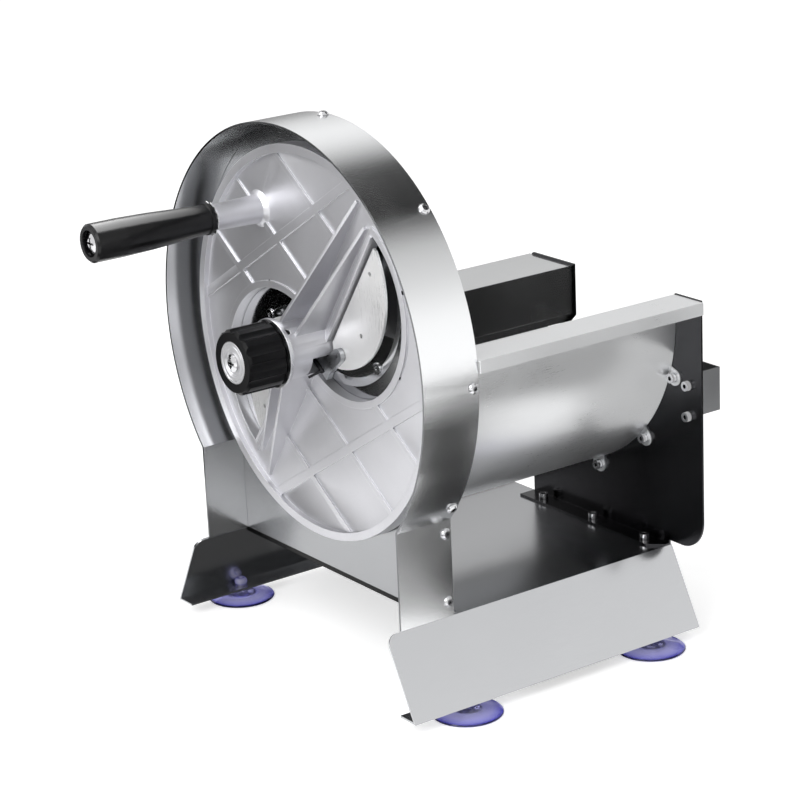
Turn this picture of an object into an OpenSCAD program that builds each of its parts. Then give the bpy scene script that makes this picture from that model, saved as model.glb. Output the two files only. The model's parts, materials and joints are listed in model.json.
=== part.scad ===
// Hand crank vegetable slicer. A cast disc with two curved blades turns inside a sheet
// guard and slices the food that is pushed along the chute behind it.
// X runs across, +Y runs from the crank side to the rear, +Z is up and the table is Z 0.
// Places are measured from the crank axis across the machine, from the front edge of the
// guard along it and from the table up. The module place() then moves everything so that
// the origin lies under the middle of the outer box.

/* [Stand] */
// Distance that each wing slopes outwards
wing_out = 29; // [18:1:44]
// Height of the top panel above the underside of the lips
stand_h = 55.5; // [45:0.5:70]
// Length of the wings from front to back
wing_len = 254; // [244:1:275]
// How far the wings reach forward of the top panel
wing_reach = 46; // [34:1:56]
// Width of the lip turned in under each wing
lip_w = 17.5; // [15:0.5:22]
// Thickness of the stand's sheet
stand_t = 1.5; // [1:0.1:2]
// Radius of the rounded front corner of a wing
wing_corner_r = 8; // [3:0.5:14]
// Height of the fold along the front edge of the top panel
panel_fold = 3.5; // [2.5:0.5:8]

/* [Suction cups] */
// Diameter of a cup's rim
cup_d = 50; // [40:1:56]
// Height of the lip's underside above the table
cup_h = 8; // [6:0.5:12]
// Distance from the front cups to the rear cups
cup_pitch = 165; // [140:1:180]
// Distance from the front end of a wing to its front cup
cup_setback = 50; // [30:1:60]
// Diameter of the neck that passes through the lip
cup_neck_d = 7.6; // [6:0.2:8]
// Diameter of the mushroom head above the lip
cup_head_d = 10; // [9:0.2:10.2]

/* [Guard] */
// Outer radius of the round part of the guard
guard_r = 158; // [135:1:180]
// Distance that the legs stand in from the guard's widest line
leg_inset = 37; // [34:1:40]
// Width of the guard from front to back
guard_w = 45; // [44:1:52]
// Thickness of the guard's sheet
guard_t = 1.5; // [1:0.1:2]
// Clear height between the round part and the top panel
guard_lift = 13.5; // [10:0.5:27]
// Distance from the guard's front edge to the back plate
plate_setback = 34; // [34:0.5:36]
// Thickness of the back plate's sheet
plate_t = 1.5; // [1:0.1:2]
// Depth of the back plate's foot
plate_foot = 14; // [13:0.5:20]

/* [Feed chute] */
// Distance from the disc's rim in to the chute's curved floor
chute_inset = 9; // [8:1:14]
// Thickness of the chute's sheet
chute_t = 1.2; // [0.8:0.1:1.5]
// How far the chute's far wall lies past the axis
chute_left = 14; // [12:0.5:16]
// Width of the rail along the chute's top edge
rail_w = 29; // [20:1:34]
// Height of the rail above the crank axis
rail_rise = 18; // [12:0.5:22]
// Height of the lip that hangs from the rail's outer edge
rail_lip = 9; // [5:0.5:14]

/* [Shaft box] */
// Distance from the axis to the box's far wall
box_left = 31; // [30:0.5:34]
// Distance from the axis to the box's wall inside the chute
box_right = 17.5; // [17.5:0.5:20]
// Height of the box's top above the axis
box_rise = 17; // [17:0.5:20]
// Depth of the box's floor below the axis
box_drop = 27.5; // [25:0.5:32]
// Size of the sloping corner inside the chute
box_chamfer = 8.5; // [5:0.5:9]
// Thickness of the box's sheet
box_t = 1.5; // [1:0.1:1.5]
// Thickness of the plate that closes the box's rear end
box_end_t = 3; // [2:0.5:5]

/* [Rear plate] */
// Distance that the rear plate stands out past the chute's wall
rear_margin = 26; // [21:1:29]
// Thickness of the rear plate's sheet
rear_t = 1.5; // [1:0.1:2]
// Distance from the rear plate to the rear end of the stand
rear_inset = 1; // [0:0.5:6]
// Radius of the rear plate's lower corner
rear_corner_r = 22; // [10:1:28]
// Gap under the part of the rear plate that overhangs the stand
rear_lift = 4; // [2:0.5:8]
// Depth of the rear plate's foot
rear_foot = 14; // [13:0.5:20]
// How far the post behind the box shows round it
post_margin = 2.5; // [1:0.5:4]
// Height of the rear plate above the crank axis
rear_rise = 18.5; // [17.5:0.5:22]

/* [Food strap] */
// How far the strap stands behind the rear plate
strap_reach = 34; // [20:1:45]
// Height of the strap
strap_h = 32; // [29:0.5:40]
// Depth of the strap's middle below the crank axis
strap_drop = 57; // [52:0.5:62]
// Distance from the rear plate's outer edge in to the strap's outer leg
strap_inset = 20; // [18:0.5:22]
// Thickness of the strap's sheet
strap_t = 1.5; // [1:0.1:2]

/* [Rotor disc] */
// Distance between the disc's rim and the guard's outer radius
disc_gap = 18; // [14:1:21]
// Distance from the guard's front edge to the rim's front
rim_front = 18; // [16:0.5:19]
// Width of the rim
rim_w = 6; // [4:0.5:8]
// Distance from the rim's front to the face of the disc
face_depth = 4; // [3:0.5:5]
// Thickness of the disc behind its face
web_t = 7; // [6:0.5:7.5]
// How far the rim stands behind the disc
rim_back = 1.5; // [0.5:0.25:2]
// Radius of the round windows, as a share of the disc's
window_share = 0.4786; // [0.45:0.005:0.49]
// Distance of a window's centre from the axis, as a share of the disc's radius
window_offset_share = 0.39; // [0.375:0.005:0.41]
// Angle from the arm back to a window's centre
window_turn = 13.7; // [10:0.1:18]
// Direction of the arm that crosses the disc
arm_angle = 55; // [0:1:90]
// Width of the arm
arm_w = 26; // [22:1:28]
// Thickness of the arm's ribs
rib_t = 2.4; // [1.8:0.1:4]
// Radius of the hub
hub_r = 20.5; // [18.5:0.5:22]
// Distance from the hub's front end to the face of the disc
hub_len = 32; // [30:0.5:36]
// Height of the low ribs on the disc's face
lattice_h = 1.4; // [0.8:0.1:2]
// Width of the two long low ribs
lattice_w = 6.5; // [3:0.5:8]
// Width of the short low ribs that cross them
lattice_cross_w = 4; // [3:0.5:8]
// Distance from the axis to the long low rib, as a share of the disc's radius
lattice_offset_share = 0.5543; // [0.53:0.005:0.6]
// Distance between the short low ribs, as a share of the disc's radius
lattice_pitch_share = 0.3786; // [0.32:0.005:0.42]

/* [Blades] */
// Thickness of a blade
blade_t = 1.5; // [1:0.1:1.8]
// Distance that the cutting edge stands inside the window's wall
edge_inset = 2; // [1:0.5:4]
// Width of the ground bevel
bevel_w = 6; // [3:0.5:9]
// Width of the seat behind the window's rim
blade_seat = 7; // [6:0.5:8]

/* [Slice thickness] */
// Slice thickness at rest
slice_rest = 5; // [5:0.5:6]
// Thickness of a thickness plate
slice_plate_t = 2; // [1.5:0.1:2.5]
// How much smaller a thickness plate's radius is than the cutting edge's
slice_edge_gap = 4; // [4:0.5:10]
// Gap between the arm and a thickness plate
slice_plate_gap = 2; // [1.5:0.5:4]

/* [Crank] */
// Distance from the disc's rim in to the crank handle's axis
crank_inset = 36; // [31:1:42]
// Angle from the arm to the crank handle
crank_turn = 69.4; // [62:0.2:76]
// Radius of the crank post at the disc
post_base_r = 10.2; // [9.6:0.2:13]
// Radius of the crank post at the grip
post_tip_r = 9.2; // [8.2:0.2:9.6]
// Height of the crank post above the face of the disc
post_len = 41.5; // [32:0.5:50]
// Length of the grip
grip_len = 95; // [80:0.5:120]
// Diameter of the grip's outer end
grip_d = 27; // [24:0.5:32]
// Diameter of the grip's inner end
grip_neck_d = 20.4; // [19:0.2:23]

/* [Adjusting knob] */
// Diameter of the knob
knob_d = 46; // [42:1:52]
// Length of the knob
knob_len = 30; // [26:0.5:36]
// Number of lobes on the knob
knob_lobes = 12; // [8:1:16]
// Radius of the washer behind the knob
knob_washer_r = 24.5; // [22:0.5:27]
// Thickness of the washer behind the knob
knob_washer_t = 4; // [3:0.5:6]

/* [Shaft and bearings] */
// Diameter of the crank shaft
shaft_d = 16; // [15:0.5:16.5]
// Length of the bearing housing
housing_len = 85; // [60:1:110]
// Length of a bearing bush
bush_len = 20; // [14:1:26]
// Wall of a bearing bush
bush_wall = 3; // [2:0.5:3]
// Wall of the bearing housing
housing_wall = 3.5; // [2.5:0.5:3.5]
// Radial clearance of a running fit
run_clear = 0.06; // [0.03:0.01:0.09]

/* [Fasteners] */
// Diameter of the small screws
screw_d = 4; // [3:0.5:4]
// Diameter of a cap screw's head
cap_head_d = 7; // [6:0.5:7]
// Diameter of a button screw's head
button_head_d = 8; // [7:0.5:8.5]
// Width of a nut across its flats
nut_af = 7; // [6:0.5:7]
// Height of a nut
nut_h = 3.2; // [2.4:0.2:3.4]

/* [Hidden] */
$fn = 96;
small_fn = 48;
overrun = 1;
// Gap left where one sheet lies round another, and where a turning face meets a still one.
seat_gap = 0.2;
face_gap = 0.3;

// Radii and widths that follow the guard.
disc_r = guard_r - disc_gap;
chute_r = disc_r - chute_inset;
rear_right = chute_r + rear_margin;
strap_right = rear_right - strap_inset;
top_w = 2 * (guard_r - leg_inset);
stand_w = top_w + 2 * wing_out;
axis_rise = guard_r + guard_lift;
window_r = window_share * disc_r;
window_offset = window_offset_share * disc_r;
lattice_offset = lattice_offset_share * disc_r;
lattice_pitch = lattice_pitch_share * disc_r;
edge_r = window_r - edge_inset;
crank_r = disc_r - crank_inset;

// Levels and stations.
lip_z = cup_h;
top_z = lip_z + stand_h;
axis_z = top_z + axis_rise;
wing_front = plate_setback - wing_reach;
wing_end = wing_front + wing_len;
plate_back = plate_setback + plate_t;
rear_back = wing_end - rear_inset;
rear_face = rear_back - rear_t;
face_y = rim_front + face_depth;
web_back = face_y + web_t;
blade_back = web_back + blade_t;
hub_front = face_y - hub_len;
knob_seat = hub_front - knob_washer_t;
grip_start = face_y - post_len - face_gap;
grip_end = grip_start - grip_len;

// Fasteners.
screw_r = screw_d / 2;
hole_clear = 0.2;
press_clear = 0.02;
cap_head_h = screw_d;
button_head_h = 2.4;
button_shares = [[1, 0], [1, 0.28], [0.86, 0.62], [0.6, 1]];
socket_share = 0.42;
cap_socket_share = 0.5;
socket_depth_share = 0.6;
screw_tail = 1.2;

// Wing slope.
wing_angle = atan2(stand_h, wing_out);
wing_slant = norm([wing_out, stand_h]);

// Suction cup profile, as shares of the rim's radius and of the height under the lip,
// and of the head's own radius and height.
cup_shares = [[1, 0], [1, 0.14], [0.84, 0.34], [0.6, 0.6], [0.4, 0.88], [0.38, 1]];
cup_hollow_share = 0.45;
cup_lip_share = 0.9;
cup_head_shares = [[0.8, 0], [1, 0.22], [0.86, 0.5], [0.55, 0.82], [0.4, 1]];
cup_head_h = 7;
cup_x = (stand_w - lip_w) / 2;
cup_front_y = wing_front + cup_setback;

// The outer box, from the cups, the rail, the guard, the grip and the strap.
rail_out = chute_r + rail_w;
left_reach = max(cup_x + cup_d / 2, guard_r + button_head_h);
right_reach = max(left_reach, rail_out, rear_right);
mid_x = (right_reach - left_reach) / 2;
mid_y = (grip_end + rear_back + strap_reach) / 2;

// Screw lines on the guard and the back plate.
guard_screw_angles = [90, 45, 135, 0, 180, -35, 215];
leg_screw_shares = [0.064, 0.35];
guard_screw_y = (plate_back + guard_w) / 2;
plate_inset = guard_t + seat_gap;
flange_in = plate_inset + plate_t;
flange_in_r = guard_r - flange_in;
nut_corner_r = nut_af / sqrt(3);
nut_sag = flange_in_r - sqrt(flange_in_r * flange_in_r - nut_corner_r * nut_corner_r);
nut_in = flange_in + nut_sag + press_clear;
back_foot_share = 0.3306;
back_foot_pitch = back_foot_share * top_w;
back_foot_y = (plate_setback + plate_t + plate_setback + plate_foot) / 2;

// Rear plate, its feet and screws.
rear_left = box_left + post_margin;
post_corner = 6;
rear_foot_x_share = 0.1818;
rear_foot_x = rear_foot_x_share * top_w;
rear_foot_pitch_share = 0.2397;
rear_foot_pitch = rear_foot_pitch_share * top_w;
foot_corner = 10;
box_screw_rise = 9;
box_screw_drop = 17;

// Chute tabs.
tab_angles = [-18.3, -44.4, -70.2];
tab_r = 6;
tab_hole_out = 5.3;
tab_hole_r = chute_r + tab_hole_out;
chute_in_r = chute_r - chute_t;
chute_flange = 11;

// Strap.
strap_step = 4;
strap_left = chute_left + strap_step;
strap_flange = 13;
strap_screw_pitch = 22.7;

// Rotor layout. Angles run from +X towards +Z, seen from the crank side.
window_angle = arm_angle - window_turn;
window_bead_w = 5;
rim_in = disc_r - rim_w;
lattice_angle = 31;
lattice_cross_angle = -35.5;
lattice_first = 20;
rib_root_share = 0.6;
rib_outer_end_share = 0.92;
rib_inner_end_share = 0.85;
rib_outer_top = 26;
rib_inner_top = 24;
rib_tip_h = 2.5;
rib_inner_offset = 4;
edge_rib_h = 2;
slot_w = 17;
slot_reach = 14;
slot_front = face_y - slot_reach;
carrier_gap = 0.3;
carrier_wall = 4.2;
hub_bore_r = shaft_d / 2 + press_clear;
carrier_in_r = shaft_d / 2 + carrier_gap;
carrier_out_r = carrier_in_r + carrier_wall;
hub_recess_r = carrier_out_r + carrier_gap;
hub_recess_reach = 18.5;
hub_recess_front = face_y - hub_recess_reach;
set_screw_r = 2.5;
set_screw_inset = 3.5;
set_screw_y = hub_front + set_screw_inset;
set_screw_sunk = 1;
set_screw_bite = 0.6;
set_screw_out = hub_r - set_screw_sunk;
set_screw_in = shaft_d / 2 - set_screw_bite;
hub_bevel = 1.5;
post_foot_w = 3;
post_foot_h = 3;
post_collar_w = 1.2;
post_collar_h = 3;

// Blades and thickness plates.
edge_x_share = 0.476;
edge_z_share = 0.842;
edge_centre = [edge_x_share * window_offset, edge_z_share * window_offset];
blade_arm_gap = 1;
blade_hub_gap = 3.5;
blade_hub_r = hub_r + blade_hub_gap;
edge_land = 0.15;
blade_screw_angles = [-82, -32, 18];
ear_angle = -53;
ear_r = 4.2;
ear_out = 0.5;
ear_hole_r = 1.6;
slice_x_share = 0.469;
slice_z_share = 0.888;
slice_centre = [slice_x_share * window_offset, slice_z_share * window_offset];
slice_plate_r = edge_r - slice_edge_gap;
slice_tip_share = 0.83;
slice_back = blade_back - slice_rest;
slice_front = slice_back - slice_plate_t;
lug_t = 4;
lug_side_gap = 1;
lug_front = slice_front - lug_t;
lug_w = slot_w - 2 * lug_side_gap;
lug_out = 7;
lug_reach = hub_r + lug_out;
foot_shares = [1.56, -0.08];
foot_place = [foot_shares[0] * hub_r, foot_shares[1] * hub_r];
foot_r = 5;
plate_hub_gap = 2;
plate_hub_r = hub_r + plate_hub_gap;
plate_hole_r = 1.6;
plate_hole_shares = [[1.15, 1.03], [0.93, 0.28]];
plate_screw_r = 1.5;
plate_screw_h = 1.4;
plate_seat_r = plate_screw_r + plate_screw_h + press_clear;
carrier_reach = 13;
carrier_inset = 0.5;
carrier_front = face_y - carrier_reach;
carrier_back = slice_back - carrier_inset;

// Adjusting screw inside the shaft.
cross_reach = 7;
cross_y = face_y - cross_reach;
cross_r = 1.5;
cross_out = 5;
cross_half = hub_r + cross_out;
tail_r = 0.9;
tail_out = 10.5;
tail_turn = 24;
bolt_r = 3;
bolt_head_r = 6.2;
bolt_head_h = 3.4;
bolt_inset = 11.5;
bolt_end = cross_y - bolt_inset;
core_r = 5;
core_reach = 28;
core_front = cross_y - core_reach;
core_rear_wall = 4;
core_back = cross_y + core_rear_wall;
core_blind_wall = 4;
core_blind = cross_y - core_blind_wall;
slide_room = 0.8;
shaft_bore_back = core_back + slice_rest + slide_room;
slot_half = cross_r + seat_gap;
cross_slot_front = cross_y - slice_rest - slot_half;
cross_slot_back = cross_y + slice_rest + slot_half;

// Knob.
knob_back = knob_seat - face_gap;
knob_front = knob_back - knob_len;
spigot_len = 16;
shaft_front = knob_seat - spigot_len;
knob_bevel = 2;
knob_groove_share = 0.2;
knob_groove_out_share = 0.6;
dial_r = 15;
dial_t = 2.8;
dial_recess_r = 9;
dial_recess = 1.4;

// Shaft, its collar, spring and bushes.
shaft_r = shaft_d / 2;
shoulder_r = 11;
shoulder_t = 2;
bush_r = shaft_r + run_clear + bush_wall;
bush_proud = 0.5;
bush_front = plate_setback - bush_proud;
shoulder_back = bush_front - face_gap;
housing_r = bush_r + housing_wall;
housing_end = plate_back + housing_len;
housing_flange_t = 5;
housing_margin = 0.5;
housing_screw_inset = 5.5;
washer_t = 1.5;
washer_r = 13;
washer_front = housing_end + face_gap;
spring_front = washer_front + washer_t + face_gap;
spring_len = 13.5;
spring_wire_r = 0.9;
spring_r = 10.2;
spring_turns = 4;
spring_rings = 8;
spring_sides = 6;
collar_front = spring_front + spring_len + face_gap;
collar_r = 13.5;
collar_w = 10;
shaft_tail = 3;
shaft_end = collar_front + collar_w + shaft_tail;
collar_screw_out = collar_r - set_screw_sunk;

// Grip and its bolt.
grip_bore_r = 5;
grip_recess_r = 9.2;
grip_recess = 5.5;
grip_shares = [[1, 0.25], [0.78, 0.5], [0.38, 0.75], [0, 1]];
grip_edge = 1.5;
grip_ring_w = 3;
grip_ring_h = 0.9;
bolt_thread_r = 4;
bolt_thread_len = 22;
grip_washer_r = 8.2;
grip_washer_t = 1.2;
grip_head_r = 6.6;
grip_head_h = 3.2;
grip_head_y = grip_end + grip_recess - grip_washer_t - face_gap;
cross_slot_w = 1.6;
cross_slot_len = 8;

function polar(r, a) = [r * cos(a), r * sin(a)];

// Frames and basic operations.
module place() {
    translate([-mid_x, -mid_y, 0]) children();
}
module at_axis() {
    place() translate([0, 0, axis_z]) children();
}
module along_y(y_a, y_b) {
    translate([0, y_b, 0]) rotate([90, 0, 0]) linear_extrude(height = y_b - y_a) children();
}
module turned_y(profile) {
    rotate([-90, 0, 0]) rotate_extrude() polygon(profile);
}
module rod_y(r, y_a, y_b) {
    translate([0, y_a, 0]) rotate([-90, 0, 0]) cylinder(r = r, h = y_b - y_a);
}
module tube_y(r_out, r_in, y_a, y_b) {
    difference() {
        rod_y(r_out, y_a, y_b);
        rod_y(r_in, y_a - overrun, y_b + overrun);
    }
}
// Turns a piece drawn along +X to a direction in the disc's plane.
module turned_to(a) {
    rotate([0, -a, 0]) children();
}
module both_halves() {
    for (a = [0, 180]) rotate([0, a, 0]) children();
}

// Fasteners stand with their head towards +Z and their seat at Z 0.
module button_screw(len) {
    hr = button_head_d / 2;
    difference() {
        union() {
            rotate_extrude($fn = small_fn)
                polygon(concat([[0, 0]], [for (s = button_shares) [s[0] * hr, s[1] * button_head_h]],
                    [[0, button_head_h]]));
            translate([0, 0, -len]) cylinder(r = screw_r, h = len + button_head_h / 2, $fn = small_fn);
        }
        translate([0, 0, button_head_h * (1 - socket_depth_share)])
            cylinder(r = hr * socket_share, h = button_head_h, $fn = 6);
    }
}
module cap_screw(len) {
    hr = cap_head_d / 2;
    difference() {
        union() {
            cylinder(r = hr, h = cap_head_h, $fn = small_fn);
            translate([0, 0, -len]) cylinder(r = screw_r, h = len + cap_head_h / 2, $fn = small_fn);
        }
        translate([0, 0, cap_head_h * (1 - socket_depth_share)])
            cylinder(r = hr * cap_socket_share, h = cap_head_h, $fn = 6);
    }
}
module flat_screw(r, head_h, len) {
    difference() {
        union() {
            translate([0, 0, -head_h]) cylinder(r1 = r, r2 = r + head_h, h = head_h, $fn = small_fn);
            translate([0, 0, -len]) cylinder(r = r, h = len - head_h / 2, $fn = small_fn);
        }
        translate([0, 0, -head_h * socket_depth_share])
            cylinder(r = (r + head_h) * socket_share, h = head_h, $fn = 6);
    }
}
module nut() {
    translate([0, 0, -nut_h]) difference() {
        cylinder(d = nut_af / cos(30), h = nut_h, $fn = 6);
        translate([0, 0, -overrun])
            cylinder(r = screw_r + press_clear, h = nut_h + 2 * overrun, $fn = small_fn);
    }
}
module screw_hole(depth) {
    translate([0, 0, -depth]) cylinder(r = screw_r + hole_clear, h = 2 * depth, $fn = small_fn);
}

// Stand: one folded sheet with a top panel, two wings and their lips.
module wing() {
    difference() {
        union() {
            translate([top_w / 2, 0, top_z]) rotate([0, wing_angle, 0]) translate([0, 0, -stand_t])
                linear_extrude(height = stand_t) difference() {
                    translate([0, wing_front]) square([wing_slant + stand_t, wing_len]);
                    translate([0, wing_front]) difference() {
                        square(wing_corner_r);
                        translate([wing_corner_r, wing_corner_r]) circle(r = wing_corner_r);
                    }
                }
            translate([stand_w / 2 - lip_w, wing_front + seat_gap, lip_z])
                cube([lip_w - stand_t / tan(wing_angle), wing_len - 2 * seat_gap, stand_t]);
        }
        translate([0, wing_front - overrun, lip_z - 2 * stand_t])
            cube([stand_w, wing_len + 2 * overrun, 2 * stand_t]);
        for (y = [cup_front_y, cup_front_y + cup_pitch])
            translate([cup_x, y, lip_z - overrun])
                cylinder(d = cup_neck_d + 2 * seat_gap, h = stand_t + 2 * overrun);
    }
}
module base_sheet() {
    color([0.72, 0.73, 0.74]) difference() {
        place() {
            translate([-top_w / 2, plate_setback, top_z - stand_t])
                cube([top_w, wing_end - seat_gap - plate_setback, stand_t]);
            translate([-top_w / 2, plate_setback, top_z - panel_fold])
                cube([top_w, stand_t, panel_fold]);
            for (m = [0, 1]) mirror([m, 0, 0]) wing();
        }
        back_foot_places() screw_hole(panel_fold + plate_t);
        rear_foot_places() screw_hole(panel_fold + rear_t);
    }
}

// Suction cup: rim and dome under the lip, neck through it and a mushroom head above.
module suction_cup(side, y) {
    r = cup_d / 2;
    neck_r = cup_neck_d / 2;
    head_r = cup_head_d / 2;
    head_z = cup_h + stand_t + seat_gap;
    color([0.35, 0.33, 0.75, 0.7]) place() translate([side * cup_x, y, 0]) rotate_extrude()
        polygon(concat(
            [[0, cup_h * cup_hollow_share], [r * cup_lip_share, 0]],
            [for (s = cup_shares) [s[0] * r, s[1] * cup_h]],
            [[neck_r, cup_h], [neck_r, head_z]],
            [for (s = cup_head_shares) [s[0] * head_r, head_z + s[1] * cup_head_h]],
            [[0, head_z + cup_head_h]]));
}
module suction_cup_front_left() { suction_cup(-1, cup_front_y); }
module suction_cup_front_right() { suction_cup(1, cup_front_y); }
module suction_cup_rear_left() { suction_cup(-1, cup_front_y + cup_pitch); }
module suction_cup_rear_right() { suction_cup(1, cup_front_y + cup_pitch); }

// Outline of the guard about the axis, drawn in by an inset: a circle on two legs.
module arch(inset, below) {
    circle(r = guard_r - inset);
    translate([-top_w / 2 + inset, -axis_rise - below])
        square([top_w - 2 * inset, axis_rise + below]);
}
module guard_screw_places(depth) {
    at_axis() translate([0, guard_screw_y, 0]) {
        for (a = guard_screw_angles)
            turned_to(a) translate([guard_r - depth, 0, 0]) rotate([0, 90, 0]) children();
        for (side = [0, 180], s = leg_screw_shares)
            translate([0, 0, -axis_rise * (1 - s)]) rotate([0, 0, side])
                translate([top_w / 2 - depth, 0, 0]) rotate([0, 90, 0]) children();
    }
}
module guard_band() {
    color([0.75, 0.76, 0.77]) difference() {
        at_axis() along_y(0, guard_w) difference() {
            arch(0, 0);
            arch(guard_t, overrun);
        }
        guard_screw_places(0) screw_hole(2 * guard_t);
    }
}
module guard_screws() {
    color([0.8, 0.8, 0.82]) guard_screw_places(0) button_screw(nut_in + nut_h + screw_tail);
}
module guard_nuts() {
    color([0.7, 0.7, 0.72]) guard_screw_places(nut_in) rotate([0, 0, 30]) nut();
}

// Section of the shaft box about the axis, drawn in by an inset.
module box_section(inset) {
    k = inset * (sqrt(2) - 1);
    polygon([
        [-box_left + inset, box_rise - inset], [-box_left + inset, -box_drop + inset],
        [box_right - box_chamfer - k, -box_drop + inset],
        [box_right - inset, -box_drop + box_chamfer + k], [box_right - inset, box_rise - inset]
    ]);
}
// Clear section of the feed chamber, open up to a height above the axis.
module chamber(rise, margin) {
    difference() {
        union() {
            intersection() {
                circle(r = chute_in_r);
                translate([-chute_left, -chute_r]) square([chute_left + chute_r, chute_r]);
            }
            translate([-chute_left, 0]) square([chute_left + chute_in_r, rise]);
        }
        box_section(-margin);
    }
}

module back_foot_places() {
    place() for (i = [-1, 0, 1])
        translate([i * back_foot_pitch, back_foot_y, top_z]) children();
}
module back_plate() {
    foot_w = top_w - 2 * plate_inset;
    color([0.7, 0.71, 0.73]) difference() {
        union() {
            at_axis() along_y(plate_setback, plate_back) arch(plate_inset, 0);
            at_axis() along_y(plate_setback, guard_w) difference() {
                arch(plate_inset, 0);
                arch(flange_in, overrun);
            }
            place() translate([-foot_w / 2, plate_setback, top_z]) cube([foot_w, plate_foot, plate_t]);
        }
        at_axis() along_y(plate_setback - overrun, plate_back + overrun) chamber(rail_rise, 0);
        at_axis() rod_y(bush_r + seat_gap, plate_setback - overrun, plate_back + overrun);
        at_axis() housing_screw_places() flat_hole();
        guard_screw_places(plate_inset) screw_hole(2 * plate_t);
        back_foot_places() screw_hole(2 * plate_t);
    }
}
module back_foot_screws() {
    color([0.8, 0.8, 0.82]) back_foot_places() translate([0, 0, plate_t])
        button_screw(plate_t + stand_t + nut_h + screw_tail);
}
module back_foot_nuts() {
    color([0.7, 0.7, 0.72]) back_foot_places() translate([0, 0, -stand_t]) nut();
}

// Feed chute: a folded sheet with a far wall, a curved floor, a near wall and a rail.
module chute_tab_places() {
    at_axis() for (a = tab_angles)
        turned_to(a) translate([tab_hole_r, rear_face - chute_t, 0]) children();
}
module feed_chute() {
    wall_mid = chute_left + chute_t / 2;
    floor_mid_r = chute_r - chute_t / 2;
    floor_z = -sqrt(floor_mid_r * floor_mid_r - wall_mid * wall_mid);
    color([0.78, 0.79, 0.8]) {
        at_axis() along_y(plate_back, rear_face - seat_gap) {
            intersection() {
                difference() {
                    circle(r = chute_r);
                    circle(r = chute_in_r);
                }
                translate([-chute_left - chute_t, -chute_r])
                    square([chute_left + chute_t + chute_r, chute_r]);
            }
            translate([chute_in_r, 0]) square([chute_t, rail_rise]);
            translate([-chute_left - chute_t, floor_z]) square([chute_t, -box_drop - floor_z]);
            translate([-chute_left - chute_flange, -box_drop - chute_t])
                square([chute_flange, chute_t]);
        }
        at_axis() along_y(guard_w + face_gap, rear_face - seat_gap) {
            translate([chute_in_r, rail_rise - chute_t]) square([rail_w + chute_t, chute_t]);
            translate([rail_out - chute_t, rail_rise - rail_lip]) square([chute_t, rail_lip]);
        }
        difference() {
            chute_tab_places() rotate([90, 0, 0]) translate([0, 0, -chute_t])
                linear_extrude(height = chute_t) difference() {
                    union() {
                        circle(r = tab_r);
                        translate([-tab_r, -tab_r]) square([tab_r, 2 * tab_r]);
                    }
                    translate([-tab_hole_r, 0]) circle(r = floor_mid_r);
                }
            chute_tab_places() rotate([-90, 0, 0]) screw_hole(2 * chute_t);
        }
    }
}
module chute_screws() {
    color([0.8, 0.8, 0.82]) chute_tab_places() rotate([90, 0, 0])
        cap_screw(chute_t + rear_t + nut_h + screw_tail);
}
module chute_nuts() {
    color([0.7, 0.7, 0.72]) chute_tab_places() translate([0, chute_t + rear_t, 0])
        rotate([90, 0, 0]) nut();
}

// Rear plate: it holds the chute's rear end, and its post closes the shaft box.
module rear_foot_places() {
    place() for (i = [-1, 0, 1])
        translate([rear_foot_x + i * rear_foot_pitch, rear_face - rear_foot / 2, top_z]) children();
}
module box_screw_places() {
    at_axis() for (z = [box_screw_rise, -box_screw_drop])
        translate([(box_right - box_left) / 2, rear_back, z]) children();
}
module strap_screw_places() {
    at_axis() for (x = [strap_right + strap_flange / 2, -strap_left - strap_flange / 2], i = [-1, 1])
        translate([x, rear_face, -strap_drop + i * strap_screw_pitch / 2]) children();
}
module rear_outline() {
    low = -axis_rise + rear_lift;
    difference() {
        union() {
            translate([-rear_left, -axis_rise]) square([rear_left + top_w / 2, axis_rise + rear_rise]);
            translate([0, low + rear_corner_r])
                square([rear_right, rear_rise - low - rear_corner_r]);
            translate([0, low]) square([rear_right - rear_corner_r, rear_corner_r]);
            translate([rear_right - rear_corner_r, low + rear_corner_r]) circle(r = rear_corner_r);
        }
        chamber(rear_rise + overrun, post_margin);
        translate([-rear_left, rear_rise]) rotate(45) square(post_corner * sqrt(2), center = true);
    }
}
module rear_plate() {
    color([0.32, 0.32, 0.34]) difference() {
        union() {
            at_axis() along_y(rear_face, rear_back) rear_outline();
            place() translate([-rear_left, rear_back - rear_t - rear_foot, top_z])
                linear_extrude(height = rear_t) polygon([
                    [0, 0], [rear_left + top_w / 2 - foot_corner, 0],
                    [rear_left + top_w / 2, foot_corner], [rear_left + top_w / 2, rear_foot + rear_t],
                    [0, rear_foot + rear_t]
                ]);
        }
        rear_foot_places() screw_hole(2 * rear_t);
        chute_tab_places() translate([0, chute_t, 0]) rotate([-90, 0, 0]) screw_hole(2 * rear_t);
        box_screw_places() rotate([-90, 0, 0]) screw_hole(2 * rear_t);
        strap_screw_places() rotate([-90, 0, 0]) screw_hole(2 * rear_t);
    }
}
module rear_foot_screws() {
    color([0.8, 0.8, 0.82]) rear_foot_places() translate([0, 0, rear_t])
        cap_screw(rear_t + stand_t + nut_h + screw_tail);
}
module rear_foot_nuts() {
    color([0.7, 0.7, 0.72]) rear_foot_places() translate([0, 0, -stand_t]) nut();
}

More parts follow.
